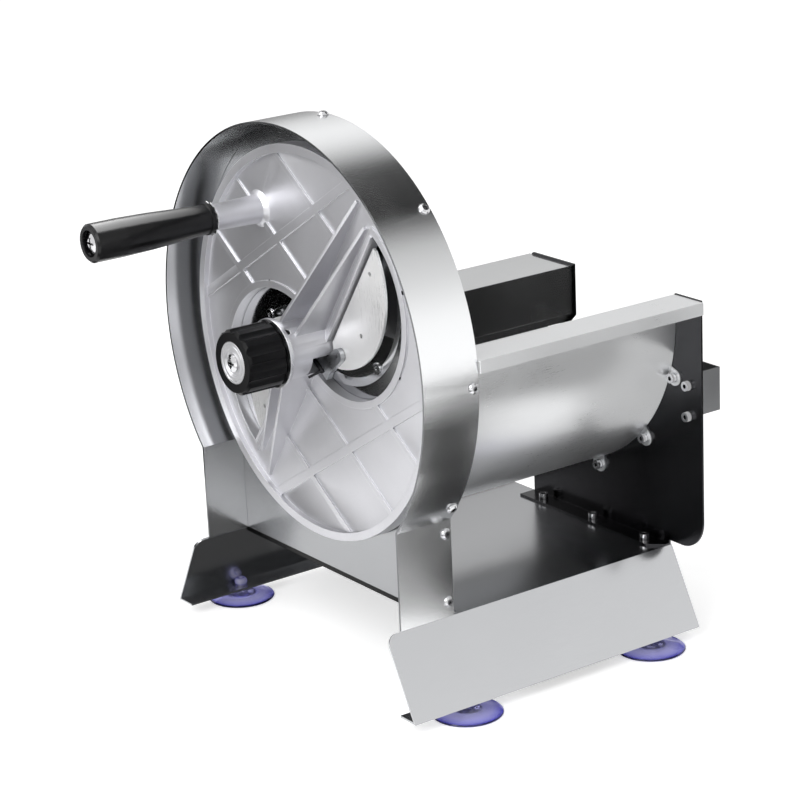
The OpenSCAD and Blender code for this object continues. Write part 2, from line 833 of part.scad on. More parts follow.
// Shaft box: a folded tube that covers the shaft and forms the chute's inner wall.
module shaft_box() {
    color([0.62, 0.63, 0.65]) difference() {
        at_axis() {
            along_y(plate_back, rear_face) difference() {
                box_section(0);
                box_section(box_t);
            }
            along_y(rear_face - box_end_t, rear_face) box_section(box_t / 2);
        }
        box_screw_places() translate([0, -rear_t, 0]) rotate([-90, 0, 0])
            translate([0, 0, -box_end_t - overrun])
                cylinder(r = screw_r + press_clear, h = box_end_t + 2 * overrun, $fn = small_fn);
    }
}
module box_screws() {
    color([0.8, 0.8, 0.82]) box_screw_places() rotate([-90, 0, 0])
        button_screw(rear_t + box_end_t + screw_tail);
}

// Bearing housing: a flange on the back plate and a tube with a bush at each end.
module housing_screw_places() {
    x0 = -box_left + box_t + housing_margin + housing_screw_inset;
    x1 = box_right - box_t - housing_margin - housing_screw_inset;
    z0 = -box_drop + box_t + housing_margin + housing_screw_inset;
    z1 = box_rise - box_t - housing_margin - housing_screw_inset;
    for (p = [[x0, z0], [x0, z1], [x1 - box_chamfer / 2, z0]])
        translate([p[0], plate_setback, p[1]]) rotate([90, 0, 0]) children();
}
module flat_hole() {
    translate([0, 0, -plate_t]) cylinder(r1 = screw_r, r2 = screw_r + plate_t, h = plate_t, $fn = small_fn);
    screw_hole(housing_flange_t + 2 * plate_t);
}
module bearing_housing() {
    color([0.6, 0.61, 0.63]) at_axis() difference() {
        union() {
            along_y(plate_back, plate_back + housing_flange_t) box_section(box_t + housing_margin);
            intersection() {
                rod_y(housing_r, plate_back, housing_end);
                along_y(plate_back, housing_end) box_section(box_t + housing_margin);
            }
        }
        rod_y(bush_r + press_clear, plate_back - overrun, housing_end + overrun);
        housing_screw_places() translate([0, 0, -housing_flange_t - 2 * plate_t])
            cylinder(r = screw_r + press_clear, h = housing_flange_t + 3 * plate_t, $fn = small_fn);
    }
}
module housing_screws() {
    color([0.75, 0.75, 0.77]) at_axis() housing_screw_places()
        flat_screw(screw_r, plate_t, plate_t + housing_flange_t);
}
module front_bush() {
    color([0.72, 0.53, 0.28]) at_axis()
        tube_y(bush_r, shaft_r + run_clear, bush_front, bush_front + bush_len);
}
module rear_bush() {
    color([0.72, 0.53, 0.28]) at_axis()
        tube_y(bush_r, shaft_r + run_clear, housing_end - bush_len, housing_end);
}

// Food strap: a folded band that bridges the chute's rear opening.
module food_strap() {
    far_y = rear_back + strap_reach;
    color([0.5, 0.51, 0.53]) difference() {
        at_axis() translate([0, 0, -strap_drop - strap_h / 2]) linear_extrude(height = strap_h) {
            translate([-strap_left - strap_t, far_y - strap_t])
                square([strap_left + strap_right + strap_t, strap_t]);
            translate([strap_right - strap_t, rear_back]) square([strap_t, strap_reach]);
            translate([-strap_left - strap_t, rear_back]) square([strap_t, strap_reach]);
            translate([strap_right - strap_t, rear_back]) square([strap_flange + strap_t, strap_t]);
            translate([-strap_left - strap_flange, rear_back]) square([strap_flange, strap_t]);
        }
        strap_screw_places() translate([0, rear_t, 0]) rotate([-90, 0, 0]) screw_hole(2 * strap_t);
    }
}
module strap_screws() {
    color([0.8, 0.8, 0.82]) strap_screw_places() rotate([90, 0, 0])
        cap_screw(rear_t + strap_t + nut_h + screw_tail);
}
module strap_nuts() {
    color([0.7, 0.7, 0.72]) strap_screw_places() translate([0, rear_t + strap_t, 0])
        rotate([90, 0, 0]) nut();
}

// Crank shaft: hollow at the front for the adjusting screw, with slots for the cross pin.
module crank_shaft() {
    color([0.66, 0.67, 0.69]) at_axis() difference() {
        union() {
            rod_y(shaft_r, shaft_front, shaft_end);
            rod_y(shoulder_r, shoulder_back - shoulder_t, shoulder_back);
        }
        rod_y(core_r + run_clear, shaft_front - overrun, shaft_bore_back);
        both_halves() turned_to(arm_angle - 90)
            translate([0, cross_slot_front, -slot_half])
                cube([shaft_r + overrun, cross_slot_back - cross_slot_front, 2 * slot_half]);
        both_halves() turned_to(arm_angle) translate([set_screw_in, set_screw_y, 0])
            rotate([0, 90, 0]) cylinder(r = set_screw_r + press_clear, h = shaft_r, $fn = small_fn);
    }
}

// Half plane beside the arm, from a distance off its middle line.
module beside_arm(off) {
    rotate(arm_angle) translate([-guard_r, -off - guard_r]) square([2 * guard_r, guard_r]);
}
module window(grow) {
    difference() {
        intersection() {
            translate(polar(window_offset, window_angle)) circle(r = window_r + grow);
            beside_arm(arm_w / 2 - grow);
        }
        circle(r = hub_r);
    }
}
module windows(grow) {
    for (a = [0, 180]) rotate(a) window(grow);
}
// Low ribs on the half of the disc beside the arm.
module lattice_half() {
    intersection() {
        union() {
            rotate(lattice_angle) translate([-disc_r, -lattice_offset - lattice_w / 2])
                square([2 * disc_r, lattice_w]);
            for (i = [0, 1, 2]) rotate(lattice_cross_angle)
                translate([-disc_r, lattice_first - i * lattice_pitch - lattice_cross_w / 2])
                    square([2 * disc_r, lattice_cross_w]);
        }
        circle(r = rim_in + overrun);
        beside_arm(arm_w / 2 - overrun);
    }
}
module arm_rib(offset, top, end_share) {
    end = disc_r * end_share;
    root = hub_r * rib_root_share;
    turned_to(arm_angle) translate([0, 0, -offset - rib_t / 2]) linear_extrude(height = rib_t)
        polygon([
            [root, face_y + overrun], [end, face_y + overrun], [end, face_y - rib_tip_h],
            [hub_r, face_y - top], [root, face_y - top]
        ]);
}
module rotor_disc() {
    color([0.74, 0.74, 0.76]) at_axis() difference() {
        union() {
            along_y(face_y, web_back) difference() {
                circle(r = disc_r);
                windows(0);
            }
            along_y(rim_front, web_back + rim_back) difference() {
                circle(r = disc_r);
                circle(r = rim_in);
            }
            along_y(face_y - lattice_h, face_y + overrun) difference() {
                union() {
                    windows(window_bead_w);
                    for (a = [0, 180]) rotate(a) lattice_half();
                }
                windows(0);
            }
            both_halves() {
                arm_rib(rib_t / 2 - arm_w / 2, rib_outer_top, rib_outer_end_share);
                arm_rib(rib_inner_offset, rib_inner_top, rib_inner_end_share);
                arm_rib(arm_w / 2 - rib_t / 2, edge_rib_h, rib_inner_end_share);
            }
            turned_y([
                [0, hub_front], [hub_r - hub_bevel, hub_front], [hub_r, hub_front + hub_bevel],
                [hub_r, web_back], [0, web_back]
            ]);
            crank_post_place() turned_y([
                [0, face_y - post_len], [post_tip_r, face_y - post_len],
                [post_tip_r + post_collar_w, face_y - post_len + post_collar_h / 2],
                [post_tip_r, face_y - post_len + post_collar_h],
                [post_base_r, face_y - post_foot_h], [post_base_r + post_foot_w, face_y],
                [post_base_r + post_foot_w, face_y + overrun], [0, face_y + overrun]
            ]);
        }
        rod_y(hub_bore_r, hub_front - overrun, web_back + overrun);
        rod_y(hub_recess_r, hub_recess_front, web_back + overrun);
        both_halves() turned_to(arm_angle - 90) translate([0, slot_front, -slot_w / 2])
            cube([hub_r + overrun, web_back + overrun - slot_front, slot_w]);
        both_halves() turned_to(arm_angle) translate([0, set_screw_y, 0]) rotate([0, 90, 0])
            cylinder(r = set_screw_r + press_clear, h = hub_r + overrun, $fn = small_fn);
        crank_post_place() rod_y(bolt_thread_r + press_clear, face_y - post_len - overrun,
            face_y - post_len + bolt_thread_len + overrun);
        blade_screw_places() translate([0, -blade_t, 0]) rotate([-90, 0, 0])
            translate([0, 0, -web_t - overrun])
                cylinder(r = screw_r + press_clear, h = web_t + 2 * overrun, $fn = small_fn);
    }
}
module crank_post_place() {
    p = polar(crank_r, arm_angle + crank_turn);
    translate([p[0], 0, p[1]]) children();
}

// Blades: crescents behind the windows, ground on the side that faces the crank.
module blade_screw_places() {
    c = polar(window_offset, window_angle);
    both_halves() for (a = blade_screw_angles) {
        p = c + polar(window_r + blade_seat / 2, a);
        translate([p[0], blade_back, p[1]]) children();
    }
}
module blade() {
    difference() {
        along_y(web_back, blade_back) difference() {
            intersection() {
                translate(polar(window_offset, window_angle)) circle(r = window_r + blade_seat);
                beside_arm(arm_w / 2 + blade_arm_gap);
            }
            translate(edge_centre) circle(r = edge_r);
            circle(r = blade_hub_r);
        }
        translate([edge_centre[0], web_back, edge_centre[1]]) rotate([-90, 0, 0])
            cylinder(r1 = edge_r + bevel_w, r2 = edge_r, h = blade_t - edge_land);
        blade_screw_places() rotate([-90, 0, 0]) translate([0, 0, -blade_t])
            cylinder(r1 = screw_r + press_clear, r2 = screw_r + blade_t + press_clear,
                h = blade_t, $fn = small_fn);
    }
    along_y(web_back, blade_back) translate(edge_centre) rotate(ear_angle)
        translate([edge_r - ear_out, 0]) difference() {
            circle(r = ear_r);
            circle(r = ear_hole_r, $fn = small_fn);
        }
}
module blade_1() { color([0.85, 0.86, 0.88]) at_axis() blade(); }
module blade_2() { color([0.85, 0.86, 0.88]) at_axis() rotate([0, 180, 0]) blade(); }
module blade_screws() {
    color([0.8, 0.8, 0.82]) at_axis() blade_screw_places() rotate([-90, 0, 0])
        flat_screw(screw_r, blade_t, blade_t + web_t);
}

module lobes(r) {
    groove = r * knob_groove_share;
    difference() {
        circle(r = r);
        for (i = [0 : knob_lobes - 1]) rotate(i * 360 / knob_lobes)
            translate([r + groove * knob_groove_out_share, 0]) circle(r = groove, $fn = small_fn);
    }
}
module knob_washer() {
    color([0.78, 0.78, 0.8]) at_axis()
        tube_y(knob_washer_r, shaft_r + press_clear, knob_seat, hub_front);
}
module hub_set_screws() {
    color([0.3, 0.3, 0.32]) at_axis() both_halves() turned_to(arm_angle)
        translate([set_screw_in, set_screw_y, 0]) rotate([0, 90, 0]) difference() {
            cylinder(r = set_screw_r, h = set_screw_out - set_screw_in, $fn = small_fn);
            translate([0, 0, set_screw_out - set_screw_in - set_screw_r])
                cylinder(r = set_screw_r * socket_share, h = 2 * set_screw_r, $fn = 6);
        }
}

// Rear end of the shaft: washer, spring and collar take up the end play.
module thrust_washer() {
    color([0.7, 0.71, 0.73]) at_axis()
        tube_y(washer_r, shaft_r + run_clear, washer_front, washer_front + washer_t);
}
module shaft_collar() {
    color([0.6, 0.61, 0.63]) at_axis() difference() {
        tube_y(collar_r, shaft_r + press_clear, collar_front, collar_front + collar_w);
        translate([0, collar_front + collar_w / 2, 0])
            cylinder(r = set_screw_r + press_clear, h = collar_r + overrun, $fn = small_fn);
    }
}
module collar_screw() {
    len = collar_screw_out - shaft_r;
    color([0.3, 0.3, 0.32]) at_axis()
        translate([0, collar_front + collar_w / 2, shaft_r + press_clear]) difference() {
            cylinder(r = set_screw_r, h = len, $fn = small_fn);
            translate([0, 0, len - set_screw_r])
                cylinder(r = set_screw_r * socket_share, h = 2 * set_screw_r, $fn = 6);
        }
}
// One unbroken round wire along a helix, as a tube of rings.
spring_pitch = (spring_len - 2 * spring_wire_r) / spring_turns;
function coil_point(t) = [
    spring_r * cos(360 * t), spring_front + spring_wire_r + spring_pitch * t,
    spring_r * sin(360 * t)
];
function coil_ring(t) = [
    for (k = [0 : spring_sides - 1])
        coil_point(t) + spring_wire_r * (cos(360 * k / spring_sides)
            * [cos(360 * t), 0, sin(360 * t)] + sin(360 * k / spring_sides) * [0, 1, 0])
];
coil_rings = spring_turns * spring_rings;
coil_gap = min([for (i = [0 : coil_rings - spring_rings])
    norm(coil_point((i + spring_rings) / spring_rings) - coil_point(i / spring_rings))])
    - 2 * spring_wire_r;
echo(spring_gap = coil_gap);
module preload_spring() {
    points = [for (i = [0 : coil_rings]) each coil_ring(i / spring_rings)];
    faces = concat(
        [[for (k = [0 : spring_sides - 1]) spring_sides - 1 - k]],
        [for (i = [0 : coil_rings - 1], k = [0 : spring_sides - 1])
            let (n = (k + 1) % spring_sides, a = i * spring_sides, b = a + spring_sides)
                each [[a + k, a + n, b + n], [a + k, b + n, b + k]]],
        [[for (k = [0 : spring_sides - 1]) coil_rings * spring_sides + k]]);
    color([0.5, 0.5, 0.52]) at_axis() polyhedron(points = points, faces = faces);
}

// Pan head of a big screw, its seat towards the rear, and the cross slot in its face.
module pan_head(seat, r, h) {
    turned_y([[0, seat - h], [r / 2, seat - h], [r, seat - h / 2], [r, seat], [0, seat]]);
}
module cross_slot(front, depth) {
    for (a = [0, 90]) rotate([0, a, 0])
        translate([-cross_slot_len / 2, front - overrun, -cross_slot_w / 2])
            cube([cross_slot_len, depth + overrun, cross_slot_w]);
}

// Grip and the bolt that it turns on.
module grip_bolt() {
    tip = face_y - post_len;
    color([0.82, 0.82, 0.84]) at_axis() crank_post_place() difference() {
        union() {
            rod_y(bolt_thread_r, grip_head_y - grip_head_h / 3, tip + bolt_thread_len);
            rod_y(grip_bore_r - run_clear, grip_head_y, tip);
            pan_head(grip_head_y, grip_head_r, grip_head_h);
        }
        cross_slot(grip_head_y - grip_head_h, grip_head_h / 2);
    }
}
module grip_washer() {
    color([0.8, 0.8, 0.82]) at_axis() crank_post_place()
        tube_y(grip_washer_r, grip_bore_r, grip_head_y, grip_head_y + grip_washer_t);
}
module crank_grip() {
    r = grip_d / 2;
    neck = grip_neck_d / 2;
    color([0.09, 0.09, 0.1]) at_axis() crank_post_place() difference() {
        union() {
            turned_y(concat(
                [[0, grip_end], [r - grip_edge, grip_end], [r, grip_end + grip_edge]],
                [for (s = grip_shares) [neck + s[0] * (r - neck), grip_end + s[1] * grip_len]],
                [[0, grip_start]]));
            tube_y(neck + grip_ring_h, grip_bore_r, grip_start - grip_ring_w, grip_start);
        }
        rod_y(grip_recess_r, grip_end - overrun, grip_end + grip_recess);
        rod_y(grip_bore_r, grip_end, grip_start + overrun);
    }
}

// Knob, its dial plate and the bolt that it turns.
module adjusting_knob() {
    r = knob_d / 2;
    color([0.07, 0.07, 0.08]) at_axis() difference() {
        intersection() {
            along_y(knob_front, knob_back) lobes(r);
            turned_y([
                [0, knob_front], [r - knob_bevel, knob_front], [r, knob_front + knob_bevel],
                [r, knob_back - knob_bevel / 2], [r - knob_bevel / 2, knob_back], [0, knob_back]
            ]);
        }
        rod_y(dial_r + press_clear, knob_front - overrun, knob_front + dial_t);
        rod_y(bolt_r + press_clear, knob_front, knob_back + overrun);
        rod_y(shaft_r + run_clear, shaft_front - face_gap, knob_back + overrun);
    }
}
module knob_dial() {
    color([0.85, 0.85, 0.87]) at_axis() difference() {
        rod_y(dial_r, knob_front, knob_front + dial_t);
        rod_y(dial_recess_r, knob_front - overrun, knob_front + dial_recess);
        rod_y(bolt_r + press_clear, knob_front - overrun, knob_front + dial_t + overrun);
    }
}
module knob_bolt() {
    seat = knob_front + dial_recess;
    color([0.8, 0.8, 0.82]) at_axis() difference() {
        union() {
            rod_y(bolt_r - run_clear, seat - bolt_head_h / 2, bolt_end);
            pan_head(seat, bolt_head_r, bolt_head_h);
        }
        cross_slot(seat - bolt_head_h, bolt_head_h / 2);
    }
}

// Sliding set: nut in the shaft, cross pin, carrier and the two thickness plates.
module adjusting_nut() {
    color([0.7, 0.6, 0.35]) at_axis() difference() {
        rod_y(core_r, core_front, core_back);
        rod_y(bolt_r, core_front - overrun, core_blind);
        cross_hole();
    }
}
module cross_hole() {
    turned_to(arm_angle - 90) translate([-guard_r / 2, cross_y, 0]) rotate([0, 90, 0])
        cylinder(r = cross_r + press_clear, h = guard_r, $fn = small_fn);
}
module cross_pin() {
    color([0.35, 0.35, 0.37]) at_axis() turned_to(arm_angle - 90) translate([0, cross_y, 0]) {
        translate([-cross_half, 0, 0]) rotate([0, 90, 0])
            cylinder(r = cross_r, h = 2 * cross_half, $fn = small_fn);
        translate([cross_half - cross_r, 0, 0]) rotate([90 + tail_turn, 0, 0])
            cylinder(r = tail_r, h = tail_out, $fn = small_fn);
    }
}
// A bar with round ends between two points of the disc's plane.
module link(a, b, r) {
    d = b - a;
    translate(a) circle(r = r);
    translate(b) circle(r = r);
    translate(a) rotate(atan2(d[1], d[0])) translate([0, -r]) square([norm(d), 2 * r]);
}
module carrier_arm() {
    rotate(arm_angle - 90) translate([carrier_in_r, -lug_w / 2])
        square([lug_reach - carrier_in_r, lug_w]);
    link(polar(lug_reach - foot_r, arm_angle - 90), foot_place, foot_r);
}
module plate_screw_places() {
    both_halves() translate([foot_place[0], slice_back, foot_place[1]]) rotate([-90, 0, 0]) children();
}
module plate_carrier() {
    color([0.6, 0.61, 0.63]) at_axis() difference() {
        union() {
            rod_y(carrier_out_r, carrier_front, carrier_back);
            both_halves() along_y(lug_front, slice_front) carrier_arm();
        }
        rod_y(carrier_in_r, carrier_front - overrun, carrier_back + overrun);
        cross_hole();
        plate_screw_places() translate([0, 0, -slice_plate_t - lug_t - overrun])
            cylinder(r = plate_screw_r + press_clear, h = lug_t + slice_plate_t, $fn = small_fn);
    }
}
module thickness_plate() {
    difference() {
        along_y(slice_front, slice_back) difference() {
            intersection() {
                translate(slice_centre) circle(r = slice_plate_r);
                beside_arm(arm_w / 2 + slice_plate_gap);
                rotate(arm_angle) translate([-disc_r, -disc_r])
                    square([disc_r + window_offset + slice_tip_share * window_r, 2 * disc_r]);
            }
            circle(r = plate_hub_r);
            for (q = plate_hole_shares) translate(q * slice_plate_r)
                circle(r = plate_hole_r, $fn = small_fn);
        }
        plate_screw_places() {
            translate([0, 0, -plate_screw_h])
                cylinder(r1 = plate_screw_r + press_clear, r2 = plate_seat_r, h = plate_screw_h,
                    $fn = small_fn);
            translate([0, 0, -2 * slice_plate_t])
                cylinder(r = plate_screw_r + press_clear, h = 2 * slice_plate_t, $fn = small_fn);
        }
    }
}
module thickness_plate_1() { color([0.88, 0.88, 0.9]) at_axis() thickness_plate(); }
module thickness_plate_2() { color([0.88, 0.88, 0.9]) at_axis() rotate([0, 180, 0]) thickness_plate(); }
module plate_screws() {
    color([0.8, 0.8, 0.82]) at_axis() plate_screw_places()
        flat_screw(plate_screw_r, plate_screw_h, slice_plate_t + lug_t);
}

base_sheet();
suction_cup_front_left();
suction_cup_front_right();
suction_cup_rear_left();
suction_cup_rear_right();
guard_band();
back_plate();
guard_screws();
guard_nuts();
back_foot_screws();
back_foot_nuts();
feed_chute();
rear_plate();
chute_screws();
chute_nuts();
rear_foot_screws();
rear_foot_nuts();
shaft_box();
box_screws();
bearing_housing();
housing_screws();
front_bush();
rear_bush();
food_strap();
strap_screws();
strap_nuts();
crank_shaft();
rotor_disc();
blade_1();
blade_2();
blade_screws();
knob_washer();
hub_set_screws();
thrust_washer();
preload_spring();
shaft_collar();
collar_screw();
grip_bolt();
grip_washer();
crank_grip();
adjusting_knob();
knob_dial();
knob_bolt();
adjusting_nut();
cross_pin();
plate_carrier();
thickness_plate_1();
thickness_plate_2();
plate_screws();
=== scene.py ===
"""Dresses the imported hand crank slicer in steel, cast aluminium, plastic and PVC, on a sweep."""

import json
import math

import bpy
from mathutils import Matrix, Vector

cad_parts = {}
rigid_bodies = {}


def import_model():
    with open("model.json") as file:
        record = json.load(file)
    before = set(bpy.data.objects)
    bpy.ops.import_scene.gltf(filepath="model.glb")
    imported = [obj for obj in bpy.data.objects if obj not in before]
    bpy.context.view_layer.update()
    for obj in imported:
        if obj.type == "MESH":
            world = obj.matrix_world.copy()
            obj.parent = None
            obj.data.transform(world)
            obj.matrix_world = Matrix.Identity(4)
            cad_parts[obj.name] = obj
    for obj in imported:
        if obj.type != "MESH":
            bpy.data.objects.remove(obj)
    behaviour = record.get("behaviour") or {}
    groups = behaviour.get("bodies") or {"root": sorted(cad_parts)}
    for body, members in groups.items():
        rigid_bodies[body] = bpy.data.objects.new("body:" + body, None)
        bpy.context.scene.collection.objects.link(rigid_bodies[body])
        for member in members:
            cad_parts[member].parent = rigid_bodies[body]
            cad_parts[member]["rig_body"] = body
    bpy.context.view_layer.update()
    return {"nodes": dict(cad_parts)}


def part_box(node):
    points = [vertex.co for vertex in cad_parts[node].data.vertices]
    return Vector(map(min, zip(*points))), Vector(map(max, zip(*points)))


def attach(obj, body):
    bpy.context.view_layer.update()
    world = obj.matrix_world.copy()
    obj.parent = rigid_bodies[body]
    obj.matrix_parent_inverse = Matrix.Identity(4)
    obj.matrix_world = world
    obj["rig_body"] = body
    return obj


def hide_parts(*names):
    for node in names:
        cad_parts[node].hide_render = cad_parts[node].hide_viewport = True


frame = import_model()
NODES = frame["nodes"]

bl_info = {
    "name": "Hand Crank Slicer",
    "version": (1, 0, 0),
    "blender": (4, 5, 0),
    "location": "View3D > Sidebar > Slicer",
    "description": "Builds the surfaces, details and studio of a hand crank vegetable slicer",
    "category": "Object",
}

MM = 0.001


def middle(node):
    """The centre of a CAD node's box."""
    low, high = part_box(node)
    return (low + high) / 2


AXIS = middle("knob_washer")
CRANK = middle("crank_grip")

# Sizes of the patterns on the real surfaces, in metres. The two finest are drawn coarser than they
# are, so that they show.

STEEL_CLOUD = 1 / 14  # uneven polish, 71 mm
CAST_CLOUD = 1 / 22  # uneven tumbling, 45 mm
PLASTIC_CLOUD = 1 / 60  # wear by the hand, 17 mm
PVC_CLOUD = 1 / 90  # flow marks of the mould, 11 mm
PLASTIC_SKIN = 1 / 1800  # spark eroded grain, 0.56 mm
DIAL_LINE = 1 / 2600  # turning marks, 0.38 mm

# Forms that are turned or cut round an axis

CUPS = ("front_left", "front_right", "rear_left", "rear_right")
# Radius and height in millimetres: hollow, rim, dome, neck, head and its dimple.
CUP_RINGS = ((0.5, 3.5), (8, 3.2), (15, 2.3), (21, 0.9), (24, 0.1), (24.7, 0.0), (25, 0.35),
             (24.6, 0.9), (21, 2.0), (16, 3.3), (11.5, 4.9), (8, 6.4), (5.6, 7.4), (4.2, 7.9),
             (3.75, 8.4), (3.6, 9.4), (3.7, 9.9), (4.5, 10.5), (4.95, 11.6), (4.8, 13.2),
             (4.1, 14.6), (3.0, 15.2), (1.9, 14.9), (1.1, 14.1), (0.4, 13.8))
# Shares of the dial's radius and of its thickness, from the rim to the bore's edge.
DIAL_RINGS = ((1.0, 0.0), (1.0, 0.8), (0.96, 1.0), (0.86, 1.0), (0.84, 0.82), (0.8, 0.82),
              (0.78, 1.0), (0.66, 1.0), (0.6, 0.5), (0.5, 0.5), (0.47, 0.8), (0.42, 0.8),
              (0.4, 0.5), (0.3, 0.5))
# Points round a turned form and round a flat ring, and the angle past which faces meet in an edge.
TURNED_STEPS, RING_STEPS, EDGE_ANGLE = 72, 96, math.radians(30)

# Half the width of the panel's front fold.
FOLD_HALF = 121.2 * MM
# Share of the CAD washer's thickness that the knob's flange takes, and the gap between the two.
FLANGE_SHARE, FLANGE_GAP = 0.3, 0.08 * MM
# Shares of a flat ring's radius and thickness: the flange's radius, the depth between its lobes,
# and the height of the chamfer and how far it draws in.
FLANGE_REACH, LOBE_DEPTH, CHAMFER, CHAMFER_IN = 0.97, 0.085, 0.15, 0.01

# The toothed ring: its radii, its sheet and how far it lies behind the grip.
TOOTH_INNER, TOOTH_OUTER, TOOTH_SHEET, TOOTH_GAP = 9.3 * MM, 12.2 * MM, 0.5 * MM, 1.0 * MM
# Round its rim, four points to a tooth: the share of the radius, and the bend in millimetres.
TOOTH_RIM, TOOTH_BEND = (1.0, 0.93, 0.84, 0.93), (0.5, 0.2, 0.0, 0.3)

# The photograph's view: the camera's turn, tilt and roll in degrees, and its place.
VIEW_TURN, VIEW_TILT, VIEW_ROLL = 54.655, 17.915, -2.566
VIEW_PLACE = (1.50233, -1.0521, 0.77306)
SENSOR = 36

# Lamps: name, share of the key's power, side, place and the point that it faces, in metres.
SOFTBOXES = (("Key softbox", 1.0, 0.9, (0.55, -1.2, 1.0), (0.0, -0.02, 0.2)),
             ("Top softbox", 0.7, 0.8, (-0.35, -0.75, 1.6), (0.0, -0.05, 0.25)))
# The paper under the cups: its side, how far it lies below them, its glow and its colour.
SWEEP_SIDE, SWEEP_DROP, SWEEP_GLOW = 14, 0.4 * MM, 0.55
PAPER = (0.92, 0.92, 0.92, 1)
WHITE = (1, 1, 1, 1)

# The arch behind the slicer: its radius, length, centre, and the degrees that it spans each way.
ARCH_RADIUS, ARCH_LENGTH, ARCH_PLACE, ARCH_HALF = 1.7, 1.7, (0, 1.45, 0.2), 100
# Degrees from straight up, to the right, and the light there as a share of the brightest.
ARCH_BANDS = ((-100, 0.35), (-90, 0.2), (-76, 0.35), (-62, 0.66), (-45, 0.86), (-33, 0.78),
              (-23, 0.5), (-11, 0.05), (20, 0.005), (27, 0.2), (37, 0.5), (55, 0.66),
              (72, 0.92), (100, 1.0))


# Values that a user would change

class SlicerFinish(bpy.types.PropertyGroup):
    """Colours and surface values of the slicer's materials."""

    rolled: bpy.props.StringProperty(
        name="Band steel", description="sRGB hex colour of the rolled band", default="#EEEFF0")
    rim: bpy.props.StringProperty(
        name="Band rim", description="sRGB hex colour of the band's cut edges", default="#77787A")
    # Painted shade: the stand's steel is coloured darker than the band's.
    stand: bpy.props.StringProperty(
        name="Stand steel", description="sRGB hex colour of the stand's sheet", default="#C3C4C6")
    # Painted shade: the fold's near black stands in for the shadow gap under the back plate.
    fold: bpy.props.StringProperty(
        name="Stand fold", description="sRGB hex colour of the panel's edge", default="#141414")
    # Painted shade: the back plate's steel is coloured darker than the band's.
    flat: bpy.props.StringProperty(
        name="Flat steel", description="sRGB hex colour of the back plate", default="#A0A1A3")
    # Painted shade: the strap's steel is coloured darker than the band's.
    strap: bpy.props.StringProperty(
        name="Strap steel", description="sRGB hex colour of the strap", default="#A2A3A5")
    trough: bpy.props.StringProperty(
        name="Trough steel", description="sRGB hex colour of the feed trough", default="#F0F1F2")
    box: bpy.props.StringProperty(
        name="Box steel", description="sRGB hex colour of the shaft box", default="#E9EAEB")
    # Painted reflection: the rear plate's steel is coloured almost black.
    dark_sheet: bpy.props.StringProperty(
        name="Dark sheet", description="sRGB hex colour of the rear plate", default="#454547")
    casting: bpy.props.StringProperty(
        name="Casting", description="sRGB hex colour of the cast aluminium", default="#D6D6DA")
    # Partly edge wear, partly painted highlight.
    edge_wear_and_highlight: bpy.props.StringProperty(
        name="Cast edges", description="sRGB hex colour of the casting's edges", default="#E8E8EB")
    blade: bpy.props.StringProperty(
        name="Blade steel", description="sRGB hex colour of the ground blades", default="#DCDDDF")
    plate: bpy.props.StringProperty(
        name="Plates", description="sRGB hex colour of the thickness plates", default="#F8F8F8")
    screw: bpy.props.StringProperty(
        name="Screws", description="sRGB hex colour of the plated screws", default="#DADADC")
    zinc: bpy.props.StringProperty(
        name="Zinc", description="sRGB hex colour of the zinc plated parts", default="#A9ABAE")
    shaft: bpy.props.StringProperty(
        name="Shaft", description="sRGB hex colour of the turned steel", default="#B9BABD")
    oxide: bpy.props.StringProperty(
        name="Oxide", description="sRGB hex colour of the oxidised screws", default="#3A3A3C")
    bronze: bpy.props.StringProperty(
        name="Bronze", description="sRGB hex colour of the sintered bushes", default="#B08A50")
    # Painted shade in sockets and under heads.
    socket_shade: bpy.props.StringProperty(
        name="Socket shade", description="sRGB hex colour in sockets and under heads", default="#0A0A0A")
    plastic: bpy.props.StringProperty(
        name="Plastic", description="sRGB hex colour of the grip and knob", default="#080809")
    worn: bpy.props.StringProperty(
        name="Worn plastic", description="sRGB hex colour where hands rub it", default="#0B0B0D")
    dial_crest: bpy.props.StringProperty(
        name="Dial crests", description="sRGB hex colour of the dial's crests", default="#E2E2E4")
    dial_line: bpy.props.StringProperty(
        name="Dial lines", description="sRGB hex colour of the dial's lines", default="#B9B9BC")
    washer: bpy.props.StringProperty(
        name="Washer", description="sRGB hex colour of the knob's washer", default="#D2D2D5")
    spring: bpy.props.StringProperty(
        name="Toothed ring", description="sRGB hex colour of the toothed ring", default="#F0F0F1")
    cup: bpy.props.StringProperty(
        name="Cup", description="sRGB hex colour of the soft PVC at its rims", default="#403DC0")
    cup_face: bpy.props.StringProperty(
        name="Cup face", description="sRGB hex colour of the soft PVC face on", default="#C6C5E4")
    grain_pitch: bpy.props.FloatProperty(
        name="Grain pitch", description="Spacing of the brushed lines",
        default=0.25 * MM, min=0.05 * MM, unit="LENGTH")
    cast_grain: bpy.props.FloatProperty(
        name="Cast grain", description="Size of the casting's grain",
        default=0.8 * MM, min=0.1 * MM, unit="LENGTH")


class SlicerSizes(bpy.types.PropertyGroup):
    """Small sizes that finish the CAD forms."""

    cast_edge: bpy.props.FloatProperty(
        name="Cast edge", description="Rounding of the casting's edges",
        default=0.55 * MM, min=0.1 * MM, unit="LENGTH")
    lobes: bpy.props.IntProperty(
        name="Flange lobes", description="Lobes round the knob's flange", default=12, min=3)
    teeth: bpy.props.IntProperty(
        name="Ring teeth", description="Teeth of the ring behind the grip", default=14, min=6)


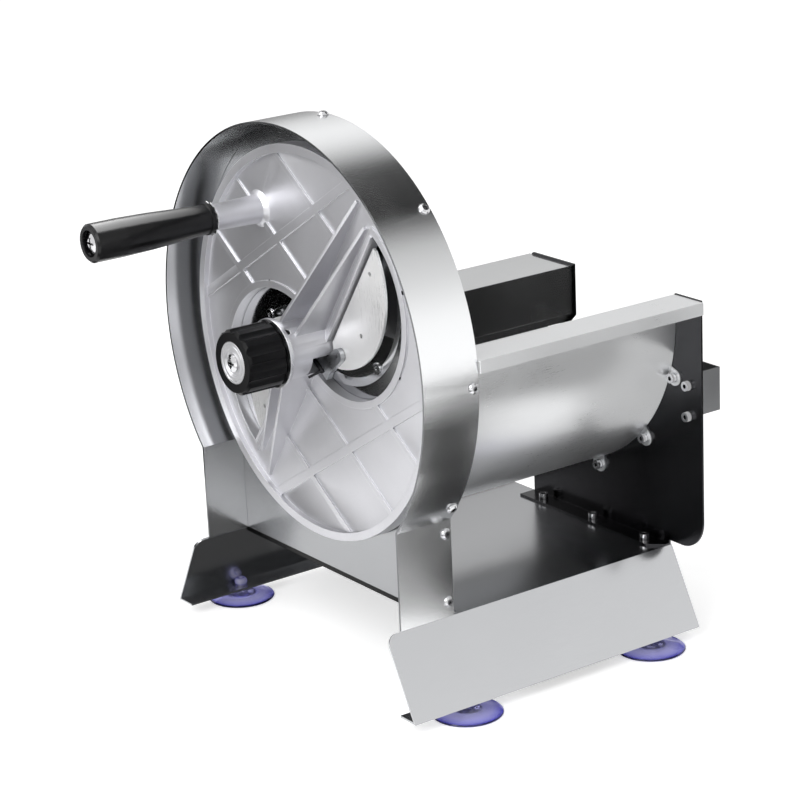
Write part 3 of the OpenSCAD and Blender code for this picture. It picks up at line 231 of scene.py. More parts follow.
class SlicerStudio(bpy.types.PropertyGroup):
    """Camera and light values."""

    lens: bpy.props.FloatProperty(
        name="Lens", description="Focal length on a 36 mm sensor", default=122.26, min=20.0)
    fill: bpy.props.FloatProperty(
        name="Fill", description="Strength of the white room on matt surfaces",
        default=0.55, min=0.0)
    key: bpy.props.FloatProperty(
        name="Key", description="Power of the front softbox in watts",
        default=9.0, min=0.0, subtype="POWER")
    arch: bpy.props.FloatProperty(
        name="Arch", description="Strength of the arch's brightest band", default=1.25, min=0.0)


# Colours and materials

# A noise keeps within this range nearly everywhere.
NOISE = {"From Min": 0.3, "From Max": 0.7}


def linear(code):
    """An sRGB hex colour as linear values with full opacity."""
    parts = [int(code[i:i + 2], 16) / 255 for i in (1, 3, 5)]
    return tuple(c / 12.92 if c <= 0.04045 else ((c + 0.055) / 1.055) ** 2.4
                 for c in parts) + (1.0,)


def darker(code, share):
    """An sRGB hex colour as linear values, with a share of its light."""
    return tuple(c * share for c in linear(code)[:3]) + (1.0,)


def add(tree, kind, values=None, links=None, **settings):
    """Adds a node of a kind with its settings, its socket values and its links."""
    n = tree.nodes.new(kind)
    for key, value in settings.items():
        setattr(n, key, value)
    for key, value in (values or {}).items():
        n.inputs[key].default_value = value
    for key, source in (links or {}).items():
        tree.links.new(source, n.inputs[key])
    return n


def new_material(name):
    """An empty node material and its tree."""
    mat = bpy.data.materials.new(name)
    mat.use_nodes = True
    mat.node_tree.nodes.clear()
    return mat, mat.node_tree


def close(mat, tree, shader):
    """Ends a material in its output."""
    add(tree, "ShaderNodeOutputMaterial", links={"Surface": shader.outputs[0]})
    return mat


def edge_normal(tree, radius, height, strength, distance):
    """A normal with softened edges and a relief."""
    soft = add(tree, "ShaderNodeBevel", {"Radius": radius}, samples=4)
    bump = add(tree, "ShaderNodeBump", {"Strength": strength, "Distance": distance},
               {"Height": height, "Normal": soft.outputs["Normal"]})
    return bump.outputs["Normal"]


def brushed_steel(name, colour, rough, grain, vary=0.04, edge=0.3 * MM, metal=1.0, relief=0.06):
    """304 stainless sheet, brushed or polished: grain is the way that its lines run."""
    finish = bpy.context.scene.slicer_finish
    mat, tree = new_material(name)
    place = add(tree, "ShaderNodeTexCoord")
    fine = 1 / finish.grain_pitch
    # A line is fifty times as long as it is wide.
    scale = tuple(fine * 0.02 if axis == grain else fine for axis in "XYZ")
    lines = add(tree, "ShaderNodeMapping", {"Scale": scale}, {"Vector": place.outputs["Object"]})
    brush = add(tree, "ShaderNodeTexNoise", {"Scale": 1.0, "Detail": 3.0, "Roughness": 0.6},
                {"Vector": lines.outputs[0]})
    cloud = add(tree, "ShaderNodeTexNoise", {"Scale": 1 / STEEL_CLOUD, "Detail": 2.0},
                {"Vector": place.outputs["Object"]})
    spread = add(tree, "ShaderNodeMapRange",
                 {**NOISE, "To Min": rough - vary, "To Max": rough + vary},
                 {"Value": brush.outputs["Fac"]})
    smear = add(tree, "ShaderNodeMapRange",
                {"From Min": 0.35, "From Max": 0.65, "To Min": -0.02, "To Max": 0.03},
                {"Value": cloud.outputs["Fac"]})
    total = add(tree, "ShaderNodeMath", links={0: spread.outputs[0], 1: smear.outputs[0]},
                operation="ADD")
    # A Mix node has its two colours on inputs 6 and 7 and gives its result on output 2.
    tone = add(tree, "ShaderNodeMix", {6: linear(colour), 7: darker(colour, 0.93)},
               {0: brush.outputs["Fac"]}, data_type="RGBA")
    normal = edge_normal(tree, edge, brush.outputs["Fac"], relief, 0.03 * MM)
    shader = add(tree, "ShaderNodeBsdfPrincipled", {"Metallic": metal},
                 {"Base Color": tone.outputs[2], "Roughness": total.outputs[0], "Normal": normal})
    return close(mat, tree, shader)


def cast_aluminium(name, colour, rough=0.37, edge=0.6 * MM):
    """Tumbled cast aluminium: satin, finely pitted, with edges lightened, partly worn bright by
    tumbling and partly a painted highlight.
    """
    finish = bpy.context.scene.slicer_finish
    mat, tree = new_material(name)
    place = add(tree, "ShaderNodeTexCoord")
    grain = add(tree, "ShaderNodeTexNoise",
                {"Scale": 1 / finish.cast_grain, "Detail": 5.0, "Roughness": 0.65},
                {"Vector": place.outputs["Object"]})
    cloud = add(tree, "ShaderNodeTexNoise", {"Scale": 1 / CAST_CLOUD, "Detail": 3.0},
                {"Vector": place.outputs["Object"]})
    # An edge is where the rounded normal leaves the face's own.
    soft = add(tree, "ShaderNodeBevel", {"Radius": edge}, samples=4)
    flat = add(tree, "ShaderNodeNewGeometry")
    turn = add(tree, "ShaderNodeVectorMath", links={0: soft.outputs[0], 1: flat.outputs["Normal"]},
               operation="DOT_PRODUCT")
    # Edges are lightened: part wear from tumbling, part painted highlight.
    rub = add(tree, "ShaderNodeMapRange",
              {"From Min": 0.995, "From Max": 0.9, "To Min": 0.0, "To Max": 1.0},
              {"Value": turn.outputs["Value"]})
    base = add(tree, "ShaderNodeMix", {6: linear(colour), 7: darker(colour, 0.82)},
               {0: cloud.outputs["Fac"]}, data_type="RGBA")
    bright = add(tree, "ShaderNodeMix", {7: linear(finish.edge_wear_and_highlight)},
                 {0: rub.outputs[0], 6: base.outputs[2]}, data_type="RGBA")
    gloss = add(tree, "ShaderNodeMapRange",
                {**NOISE, "To Min": rough - 0.06, "To Max": rough + 0.08},
                {"Value": grain.outputs["Fac"]})
    bump = add(tree, "ShaderNodeBump", {"Strength": 0.25, "Distance": 0.12 * MM},
               {"Height": grain.outputs["Fac"], "Normal": soft.outputs[0]})
    shader = add(tree, "ShaderNodeBsdfPrincipled", {"Metallic": 0.8},
                 {"Base Color": bright.outputs[2], "Roughness": gloss.outputs[0],
                  "Normal": bump.outputs[0]})
    return close(mat, tree, shader)


def plain_metal(name, colour, rough, pit=0.4 * MM, depth=0.04):
    """Turned or plated metal with a faint tool grain and painted shade in its hollows, for
    fasteners and shafts.
    """
    finish = bpy.context.scene.slicer_finish
    mat, tree = new_material(name)
    place = add(tree, "ShaderNodeTexCoord")
    grain = add(tree, "ShaderNodeTexNoise", {"Scale": 1 / pit, "Detail": 3.0},
                {"Vector": place.outputs["Object"]})
    gloss = add(tree, "ShaderNodeMapRange",
                {**NOISE, "To Min": rough * 0.8, "To Max": rough * 1.25},
                {"Value": grain.outputs["Fac"]})
    tone = add(tree, "ShaderNodeMix", {6: linear(colour), 7: darker(colour, 0.85)},
               {0: grain.outputs["Fac"]}, data_type="RGBA")
    # Painted shade: the colour darkens to near black in sockets and under heads, where the ambient
    # occlusion finds hollows.
    hollow = add(tree, "ShaderNodeAmbientOcclusion", {"Distance": 2.5 * MM}, samples=8)
    shade = add(tree, "ShaderNodeMapRange", {"From Min": 0.35, "From Max": 0.72},
                {"Value": hollow.outputs["AO"]})
    dark = add(tree, "ShaderNodeMix", {6: linear(finish.socket_shade)},
               {0: shade.outputs[0], 7: tone.outputs[2]}, data_type="RGBA")
    normal = edge_normal(tree, 0.25 * MM, grain.outputs["Fac"], depth, 0.03 * MM)
    shader = add(tree, "ShaderNodeBsdfPrincipled", {"Metallic": 1.0},
                 {"Base Color": dark.outputs[2], "Roughness": gloss.outputs[0], "Normal": normal})
    return close(mat, tree, shader)


def moulded_plastic(name, colour, rough, shine):
    """Black plastic out of a spark eroded mould: satin, with a skin of fine grain."""
    finish = bpy.context.scene.slicer_finish
    mat, tree = new_material(name)
    place = add(tree, "ShaderNodeTexCoord")
    skin = add(tree, "ShaderNodeTexNoise", {"Scale": 1 / PLASTIC_SKIN, "Detail": 4.0},
               {"Vector": place.outputs["Object"]})
    wear = add(tree, "ShaderNodeTexNoise", {"Scale": 1 / PLASTIC_CLOUD, "Detail": 3.0},
               {"Vector": place.outputs["Object"]})
    gloss = add(tree, "ShaderNodeMapRange",
                {**NOISE, "To Min": rough - 0.02, "To Max": rough + 0.03},
                {"Value": wear.outputs["Fac"]})
    tone = add(tree, "ShaderNodeMix", {6: linear(colour), 7: linear(finish.worn)},
               {0: wear.outputs["Fac"]}, data_type="RGBA")
    normal = edge_normal(tree, 0.5 * MM, skin.outputs["Fac"], 0.08, 0.04 * MM)
    shader = add(tree, "ShaderNodeBsdfPrincipled",
                 {"Metallic": 0.0, "IOR": 1.5, "Specular IOR Level": shine},
                 {"Base Color": tone.outputs[2], "Roughness": gloss.outputs[0], "Normal": normal})
    return close(mat, tree, shader)


def soft_pvc(name, colour):
    """Clear plasticised PVC with a blue violet dye: glossy, with painted shade that keeps it pale
    face on and deep at its rims.
    """
    finish = bpy.context.scene.slicer_finish
    mat, tree = new_material(name)
    place = add(tree, "ShaderNodeTexCoord")
    cloud = add(tree, "ShaderNodeTexNoise", {"Scale": 1 / PVC_CLOUD, "Detail": 2.0},
                {"Vector": place.outputs["Object"]})
    parts = add(tree, "ShaderNodeSeparateXYZ", links={0: place.outputs["Object"]})
    # Painted shade: the colour deepens where the surface turns from the view, for the longer path
    # of light through the PVC.
    rim = add(tree, "ShaderNodeLayerWeight", {"Blend": 0.45})
    # The light passes a long way through the thin skirt's edge, so it is deep there too.
    low = add(tree, "ShaderNodeMapRange", {"From Min": 2.2 * MM, "From Max": 0.4 * MM},
              {"Value": parts.outputs["Z"]})
    deep = add(tree, "ShaderNodeMath", links={0: rim.outputs["Facing"], 1: low.outputs[0]},
               operation="MAXIMUM")
    tone = add(tree, "ShaderNodeMix", {6: linear(finish.cup_face), 7: linear(colour)},
               {0: deep.outputs[0]}, data_type="RGBA")
    # The thick head scatters more light than the thin skirt.
    clear = add(tree, "ShaderNodeMapRange",
                {"From Min": 6 * MM, "From Max": 11 * MM, "To Min": 0.95, "To Max": 0.5},
                {"Value": parts.outputs["Z"]})
    gloss = add(tree, "ShaderNodeMapRange",
                {**NOISE, "To Min": 0.05, "To Max": 0.14},
                {"Value": cloud.outputs["Fac"]})
    shader = add(tree, "ShaderNodeBsdfPrincipled", {"Metallic": 0.0, "IOR": 1.45},
                 {"Base Color": tone.outputs[2], "Roughness": gloss.outputs[0],
                  "Transmission Weight": clear.outputs[0]})
    return close(mat, tree, shader)


def spun_aluminium(name, centre):
    """Spun aluminium: fine rings round a centre, bright where the light crosses them."""
    finish = bpy.context.scene.slicer_finish
    mat, tree = new_material(name)
    place = add(tree, "ShaderNodeTexCoord")
    shift = add(tree, "ShaderNodeMapping", {"Location": (-centre.x, 0, -centre.z)},
                {"Vector": place.outputs["Object"]})
    flat = add(tree, "ShaderNodeVectorMath", {1: (1, 0, 1)}, {0: shift.outputs[0]},
               operation="MULTIPLY")
    radius = add(tree, "ShaderNodeVectorMath", links={0: flat.outputs[0]}, operation="LENGTH")
    rings = add(tree, "ShaderNodeTexNoise", {"Scale": 1 / DIAL_LINE, "Detail": 3.0},
                {"W": radius.outputs["Value"]}, noise_dimensions="1D")
    gloss = add(tree, "ShaderNodeMapRange",
                {**NOISE, "To Min": 0.3, "To Max": 0.45},
                {"Value": rings.outputs["Fac"]})
    tone = add(tree, "ShaderNodeMix", {6: linear(finish.dial_crest), 7: linear(finish.dial_line)},
               {0: rings.outputs["Fac"]}, data_type="RGBA")
    bump = add(tree, "ShaderNodeBump", {"Strength": 0.2, "Distance": 0.05 * MM},
               {"Height": rings.outputs["Fac"]})
    shader = add(tree, "ShaderNodeBsdfPrincipled", {"Metallic": 0.7},
                 {"Base Color": tone.outputs[2], "Roughness": gloss.outputs[0],
                  "Normal": bump.outputs[0]})
    return close(mat, tree, shader)


def dress(mat, *names):
    """Gives CAD nodes or pieces one material."""
    for name in names:
        data = bpy.data.objects[name].data
        data.materials.clear()
        data.materials.append(mat)


# Modelling steps

def only(obj):
    """Selects and activates one object alone."""
    bpy.ops.object.select_all(action="DESELECT")
    obj.select_set(True)
    bpy.context.view_layer.objects.active = obj


def freeze(obj):
    """Puts an object's place into its mesh."""
    only(obj)
    bpy.ops.object.transform_apply(location=True, rotation=True, scale=True)
    return obj


def edit_all():
    """Opens the active object's mesh, with all of it selected."""
    bpy.ops.object.mode_set(mode="EDIT")
    bpy.ops.mesh.select_all(action="SELECT")


def outwards():
    """Turns all faces of the active object outwards and closes its mesh."""
    edit_all()
    bpy.ops.mesh.normals_make_consistent(inside=False)
    bpy.ops.object.mode_set(mode="OBJECT")


def circle(name, steps, radius, height=0, fill="NOTHING"):
    """A new level circle round the origin's upright axis."""
    bpy.ops.object.select_all(action="DESELECT")
    bpy.ops.mesh.primitive_circle_add(vertices=steps, radius=radius, fill_type=fill,
                                      location=(0, 0, height))
    obj = bpy.context.object
    obj.name = name
    return obj


def lay(obj, place):
    """Lays an upright form along the shaft with its top to the front, and puts it in its place."""
    obj.matrix_world = Matrix.Translation(place) @ Matrix.Rotation(math.radians(90), 4, "X")
    return freeze(obj)


def softened(node, name, width):
    """A copy of a CAD node in its place, with its triangles joined and its sharp edges rounded."""
    source = NODES[node]
    obj = bpy.data.objects.new(name, source.data.copy())
    bpy.context.scene.collection.objects.link(obj)
    only(obj)
    edit_all()
    bpy.ops.mesh.remove_doubles(threshold=0.005 * MM)
    bpy.ops.mesh.dissolve_limited(angle_limit=math.radians(0.5))
    bpy.ops.object.mode_set(mode="OBJECT")
    bpy.ops.object.shade_smooth_by_angle(angle=EDGE_ANGLE)
    round_off = obj.modifiers.new("Rounded edges", "BEVEL")
    round_off.width = width
    round_off.segments = 2
    round_off.limit_method = "ANGLE"
    round_off.angle_limit = EDGE_ANGLE
    round_off.use_clamp_overlap = True
    round_off.harden_normals = True
    round_off.miter_outer = "MITER_ARC"
    bpy.ops.object.modifier_apply(modifier=round_off.name)
    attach(obj, source["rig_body"])
    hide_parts(node)
    return obj


def turned(name, rings):
    """An upright turned form, closed at both ends, from rings of a radius and a height."""
    last = rings[0]
    obj = circle(name, TURNED_STEPS, *last, fill="NGON")
    freeze(obj)
    edit_all()
    for radius, height in rings[1:]:
        rise = height - last[1]
        bpy.ops.mesh.extrude_region_move(TRANSFORM_OT_translate={"value": (0, 0, rise)})
        ratio = radius / last[0]
        bpy.ops.transform.resize(value=(ratio, ratio, 1), center_override=(0, 0, height))
        last = (radius, height)
    outwards()
    return obj


# Pieces

class SLICER_OT_steel(bpy.types.Operator):
    """Gives the folded and rolled sheets their brushed or polished steel"""

    bl_idname = "slicer.steel"
    bl_label = "Sheet Steel"

    def execute(self, context):
        finish = context.scene.slicer_finish
        # Brushed 304 sheet: a cool grey mirror, blurred across its fine lines.
        rolled = brushed_steel("brushed 304 stainless, rolled", finish.rolled, rough=0.19,
                               grain="X")
        # The rims are sheared edges, duller than the faces.
        self.tint(rolled.node_tree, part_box("guard_band")[0].y, 1.0, finish.rim)
        dress(rolled, "guard_band")
        # The stand is the same sheet with a duller brush and a darker base colour, painted shade,
        # so that it reads as plain light grey.
        stand = brushed_steel("brushed 304 stainless, stand", finish.stand, rough=0.2, grain="Y",
                              vary=0.02, relief=0.02)
        # Painted shade: the panel's front fold is coloured near black, standing in for the shadow
        # gap under the back plate.
        self.tint(stand.node_tree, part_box("back_plate")[0].y, FOLD_HALF, finish.fold)
        dress(stand, "base_sheet")
        # Painted shade: the back plate and the strap are the same steel as the band, coloured
        # darker grey.
        flat = brushed_steel("brushed 304 stainless, flat", finish.flat, rough=0.22, grain="X")
        dress(flat, "back_plate")
        strap = brushed_steel("brushed 304 stainless, strap", finish.strap, rough=0.3, grain="X")
        dress(strap, "food_strap")
        # The trough was brushed harder, so it shows broad soft tones and no clear reflections.
        trough = brushed_steel("brushed 304 stainless, trough", finish.trough, rough=0.32,
                               grain="Y", metal=0.85)
        dress(trough, "feed_chute")
        # Polished with a fine belt: a clearer mirror than the rest.
        box = brushed_steel("polished 304 stainless, box", finish.box, rough=0.16, grain="Y",
                            metal=0.96)
        dress(box, "shaft_box")
        # Mirror polished sheet with faint sharp reflections; its base colour is painted almost
        # black, a painted reflection of a dark room.
        dark = brushed_steel("mirror polished stainless, dark", finish.dark_sheet, rough=0.2,
                             grain="Z", vary=0.02)
        dress(dark, "rear_plate")
        return {"FINISHED"}

    def tint(self, tree, front, reach, colour):
        """Another tone on the cut edge that faces front, out to a reach on each side: duller on
        the band's rims, painted shade on the stand's fold.
        """
        shader = next(n for n in tree.nodes if n.type == "BSDF_PRINCIPLED")
        tone = shader.inputs["Base Color"].links[0].from_socket
        place = add(tree, "ShaderNodeTexCoord")
        parts = add(tree, "ShaderNodeSeparateXYZ", links={0: place.outputs["Object"]})
        depth = add(tree, "ShaderNodeMath", {1: front, 2: 0.12 * MM}, {0: parts.outputs["Y"]},
                    operation="COMPARE")
        side = add(tree, "ShaderNodeMath", {1: 0.0, 2: reach}, {0: parts.outputs["X"]},
                   operation="COMPARE")
        both = add(tree, "ShaderNodeMath", links={0: depth.outputs[0], 1: side.outputs[0]},
                   operation="MULTIPLY")
        sheared_tone_and_painted_shade = add(tree, "ShaderNodeMix", {7: linear(colour)}, {0: both.outputs[0], 6: tone},
                    data_type="RGBA")
        tree.links.new(sheared_tone_and_painted_shade.outputs[2], shader.inputs["Base Color"])


class SLICER_OT_casting(bpy.types.Operator):
    """Rounds the edges of the cast disc and gives it satin aluminium"""

    bl_idname = "slicer.casting"
    bl_label = "Cast Disc"

    def execute(self, context):
        finish = context.scene.slicer_finish
        mat = cast_aluminium("tumbled cast aluminium", finish.casting)
        sizes = context.scene.slicer_sizes
        disc = softened("rotor_disc", "cast_disc", sizes.cast_edge)
        dress(mat, disc.name)
        return {"FINISHED"}


class SLICER_OT_blades(bpy.types.Operator):
    """Gives the blades and thickness plates their ground and polished steel"""

    bl_idname = "slicer.blades"
    bl_label = "Blades And Plates"

    def execute(self, context):
        finish = context.scene.slicer_finish
        # Ground tool steel: a near mirror, so its bevel runs from black to bright along its curve.
        blade = plain_metal("ground and polished blade steel", finish.blade, rough=0.12,
                            pit=0.6 * MM, depth=0.01)
        dress(blade, "blade_1", "blade_2")
        # Polished plate: white where it faces the room, grey where it faces the arm.
        plate = brushed_steel("bright polished steel plate", finish.plate, rough=0.3, grain="Z",
                              vary=0.03, metal=0.6)
        dress(plate, "thickness_plate_1", "thickness_plate_2")
        return {"FINISHED"}


class SLICER_OT_hardware(bpy.types.Operator):
    """Gives screws, nuts, shafts and bushes their plated, turned or oxidised metal"""

    bl_idname = "slicer.hardware"
    bl_label = "Screws And Shafts"

    def execute(self, context):
        finish = context.scene.slicer_finish
        # Bright nickel plate: a hard white metal that flashes at its edges.
        dress(plain_metal("bright nickel plated steel", finish.screw, rough=0.14),
              "guard_screws", "back_foot_screws", "chute_screws", "rear_foot_screws",
              "box_screws", "housing_screws", "strap_screws", "blade_screws", "grip_bolt",
              "grip_washer", "knob_bolt", "plate_screws")
        # Zinc plate: greyer and softer than nickel.
        dress(plain_metal("zinc plated steel", finish.zinc, rough=0.32),
              "guard_nuts", "back_foot_nuts", "chute_nuts", "rear_foot_nuts", "strap_nuts",
              "bearing_housing", "shaft_collar", "plate_carrier")
        # Turned steel with fine feed marks.
        dress(plain_metal("turned bright steel", finish.shaft, rough=0.22),
              "crank_shaft", "thrust_washer", "preload_spring")
        # Black oxide: a thin dark skin that keeps some metal shine.
        dress(plain_metal("black oxide steel", finish.oxide, rough=0.36),
              "hub_set_screws", "collar_screw", "cross_pin")
        # Oiled sintered bronze, finely porous.
        dress(plain_metal("sintered bronze", finish.bronze, rough=0.4, pit=0.3 * MM, depth=0.3),
              "front_bush", "rear_bush", "adjusting_nut")
        return {"FINISHED"}


class SLICER_OT_plastics(bpy.types.Operator):
    """Gives the grip and the knob their black moulded plastic"""

    bl_idname = "slicer.plastics"
    bl_label = "Grip And Knob"

    def execute(self, context):
        finish = context.scene.slicer_finish
        # ABS: a deep black with a soft highlight.
        abs_black = moulded_plastic("moulded black ABS", finish.plastic, rough=0.24, shine=0.3)
        dress(abs_black, "crank_grip")
        # The knob is glass filled nylon: a drier black.
        nylon = moulded_plastic("moulded black nylon", finish.plastic, rough=0.3, shine=0.14)
        dress(nylon, "adjusting_knob")
        return {"FINISHED"}


class SLICER_OT_dial(bpy.types.Operator):
    """Makes the knob's grooved dial, washer and lobed flange, and the toothed ring at the grip"""

    bl_idname = "slicer.dial"
    bl_label = "Dial And Rings"

    def execute(self, context):
        sizes = context.scene.slicer_sizes
        finish = context.scene.slicer_finish
        self.dial()
        self.washer(finish, sizes.lobes)
        self.ring(finish, sizes.teeth)
        return {"FINISHED"}

    def dial(self):
        """The dial's disc on the knob, turned with grooves and a sunk middle."""
        low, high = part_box("knob_dial")
        centre = (low + high) / 2
        reach = (high.x - low.x) / 2
        thick = high.y - low.y
        dial = lay(turned("dial_face", [(reach * r, thick * h) for r, h in DIAL_RINGS]),
                   (centre.x, high.y, centre.z))
        bpy.ops.object.shade_smooth_by_angle(angle=EDGE_ANGLE)
        dial.data.materials.append(spun_aluminium("spun aluminium dial", centre))
        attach(dial, "knob")
        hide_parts("knob_dial")

    def washer(self, finish, lobes):
        """The round washer under the knob, and the knob's lobed flange that lies on its face."""
        low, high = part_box("knob_washer")
        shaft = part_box("crank_shaft")
        bore = (shaft[1].x - shaft[0].x) / 2
        reach = (high.x - low.x) / 2
        split = low.y + (high.y - low.y) * FLANGE_SHARE
        washer = self.flat_ring("round_washer", reach, bore, high.y, split)
        # Turned aluminium: satin, as pale as the casting.
        washer.data.materials.append(
            plain_metal("turned aluminium washer", finish.washer, rough=0.3))
        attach(washer, "rotor")
        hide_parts("knob_washer")
        flange = self.flat_ring("knob_flange", reach * FLANGE_REACH, bore, split - FLANGE_GAP,
                                low.y, lobes)
        flange.data.materials.append(bpy.data.materials["moulded black nylon"])
        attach(flange, "knob")

    def flat_ring(self, name, reach, bore, back, front, lobes=0):
        """A flat ring on the shaft's axis, chamfered in front, drawn in between its lobes."""
        thick = back - front
        obj = circle(name, RING_STEPS, reach)
        edit_all()
        bpy.ops.mesh.extrude_region_move()
        bpy.ops.transform.resize(value=(bore / reach, bore / reach, 1), center_override=(0, 0, 0))
        bpy.ops.object.mode_set(mode="OBJECT")
        for v in obj.data.vertices:
            if lobes and v.co.length > (bore + reach) / 2:
                wave = 0.5 + 0.5 * math.cos(math.atan2(v.co.y, v.co.x) * lobes)
                pull = 1 - LOBE_DEPTH * wave ** 2
                v.co.x *= pull
                v.co.y *= pull
        edit_all()
        for share in (1 - CHAMFER, CHAMFER):
            bpy.ops.mesh.extrude_region_move(
                TRANSFORM_OT_translate={"value": (0, 0, thick * share)})
        bpy.ops.transform.resize(value=(1 - CHAMFER_IN, 1 - CHAMFER_IN, 1),
                                 center_override=(0, 0, thick))
        outwards()
        lay(obj, (AXIS.x, back, AXIS.z))
        bpy.ops.object.shade_smooth_by_angle(angle=EDGE_ANGLE)
        return obj

    def ring(self, finish, teeth):
        """A stamped ring with bent teeth round the end of the crank post."""
        steps = teeth * len(TOOTH_RIM)
        ring = circle("toothed_ring", steps, TOOTH_INNER)
        edit_all()
        bpy.ops.mesh.extrude_region_move()
        grow = TOOTH_OUTER / TOOTH_INNER
        bpy.ops.transform.resize(value=(grow, grow, 1), center_override=(0, 0, 0))
        outwards()
        for v in ring.data.vertices:
            if v.co.length > (TOOTH_INNER + TOOTH_OUTER) / 2:
                step = round(math.atan2(v.co.y, v.co.x) / (2 * math.pi) * steps) % len(TOOTH_RIM)
                v.co.x *= TOOTH_RIM[step]
                v.co.y *= TOOTH_RIM[step]
                v.co.z = TOOTH_BEND[step] * MM
        wall = ring.modifiers.new("Sheet", "SOLIDIFY")
        wall.thickness = TOOTH_SHEET
        only(ring)
        bpy.ops.object.modifier_apply(modifier=wall.name)
        lay(ring, (CRANK.x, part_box("crank_grip")[1].y + TOOTH_GAP, CRANK.z))
        outwards()
        # Bright spring steel: hard and nearly white.
        ring.data.materials.append(plain_metal("bright spring steel", finish.spring, rough=0.2))
        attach(ring, "rotor")


class SLICER_OT_cups(bpy.types.Operator):
    """Turns the four soft suction cups: flared rim, dome, neck and button head"""

    bl_idname = "slicer.cups"
    bl_label = "Suction Cups"

    def execute(self, context):
        finish = context.scene.slicer_finish
        mat = soft_pvc("soft blue violet PVC", finish.cup)
        for corner in CUPS:
            node = "suction_cup_" + corner
            place = middle(node)
            cup = turned("cup_" + corner, [(r * MM, z * MM) for r, z in CUP_RINGS])
            cup.location = (place.x, place.y, 0)
            freeze(cup)
            bpy.ops.object.shade_smooth()
            cup.data.materials.append(mat)
            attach(cup, "frame")
            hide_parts(node)
        return {"FINISHED"}


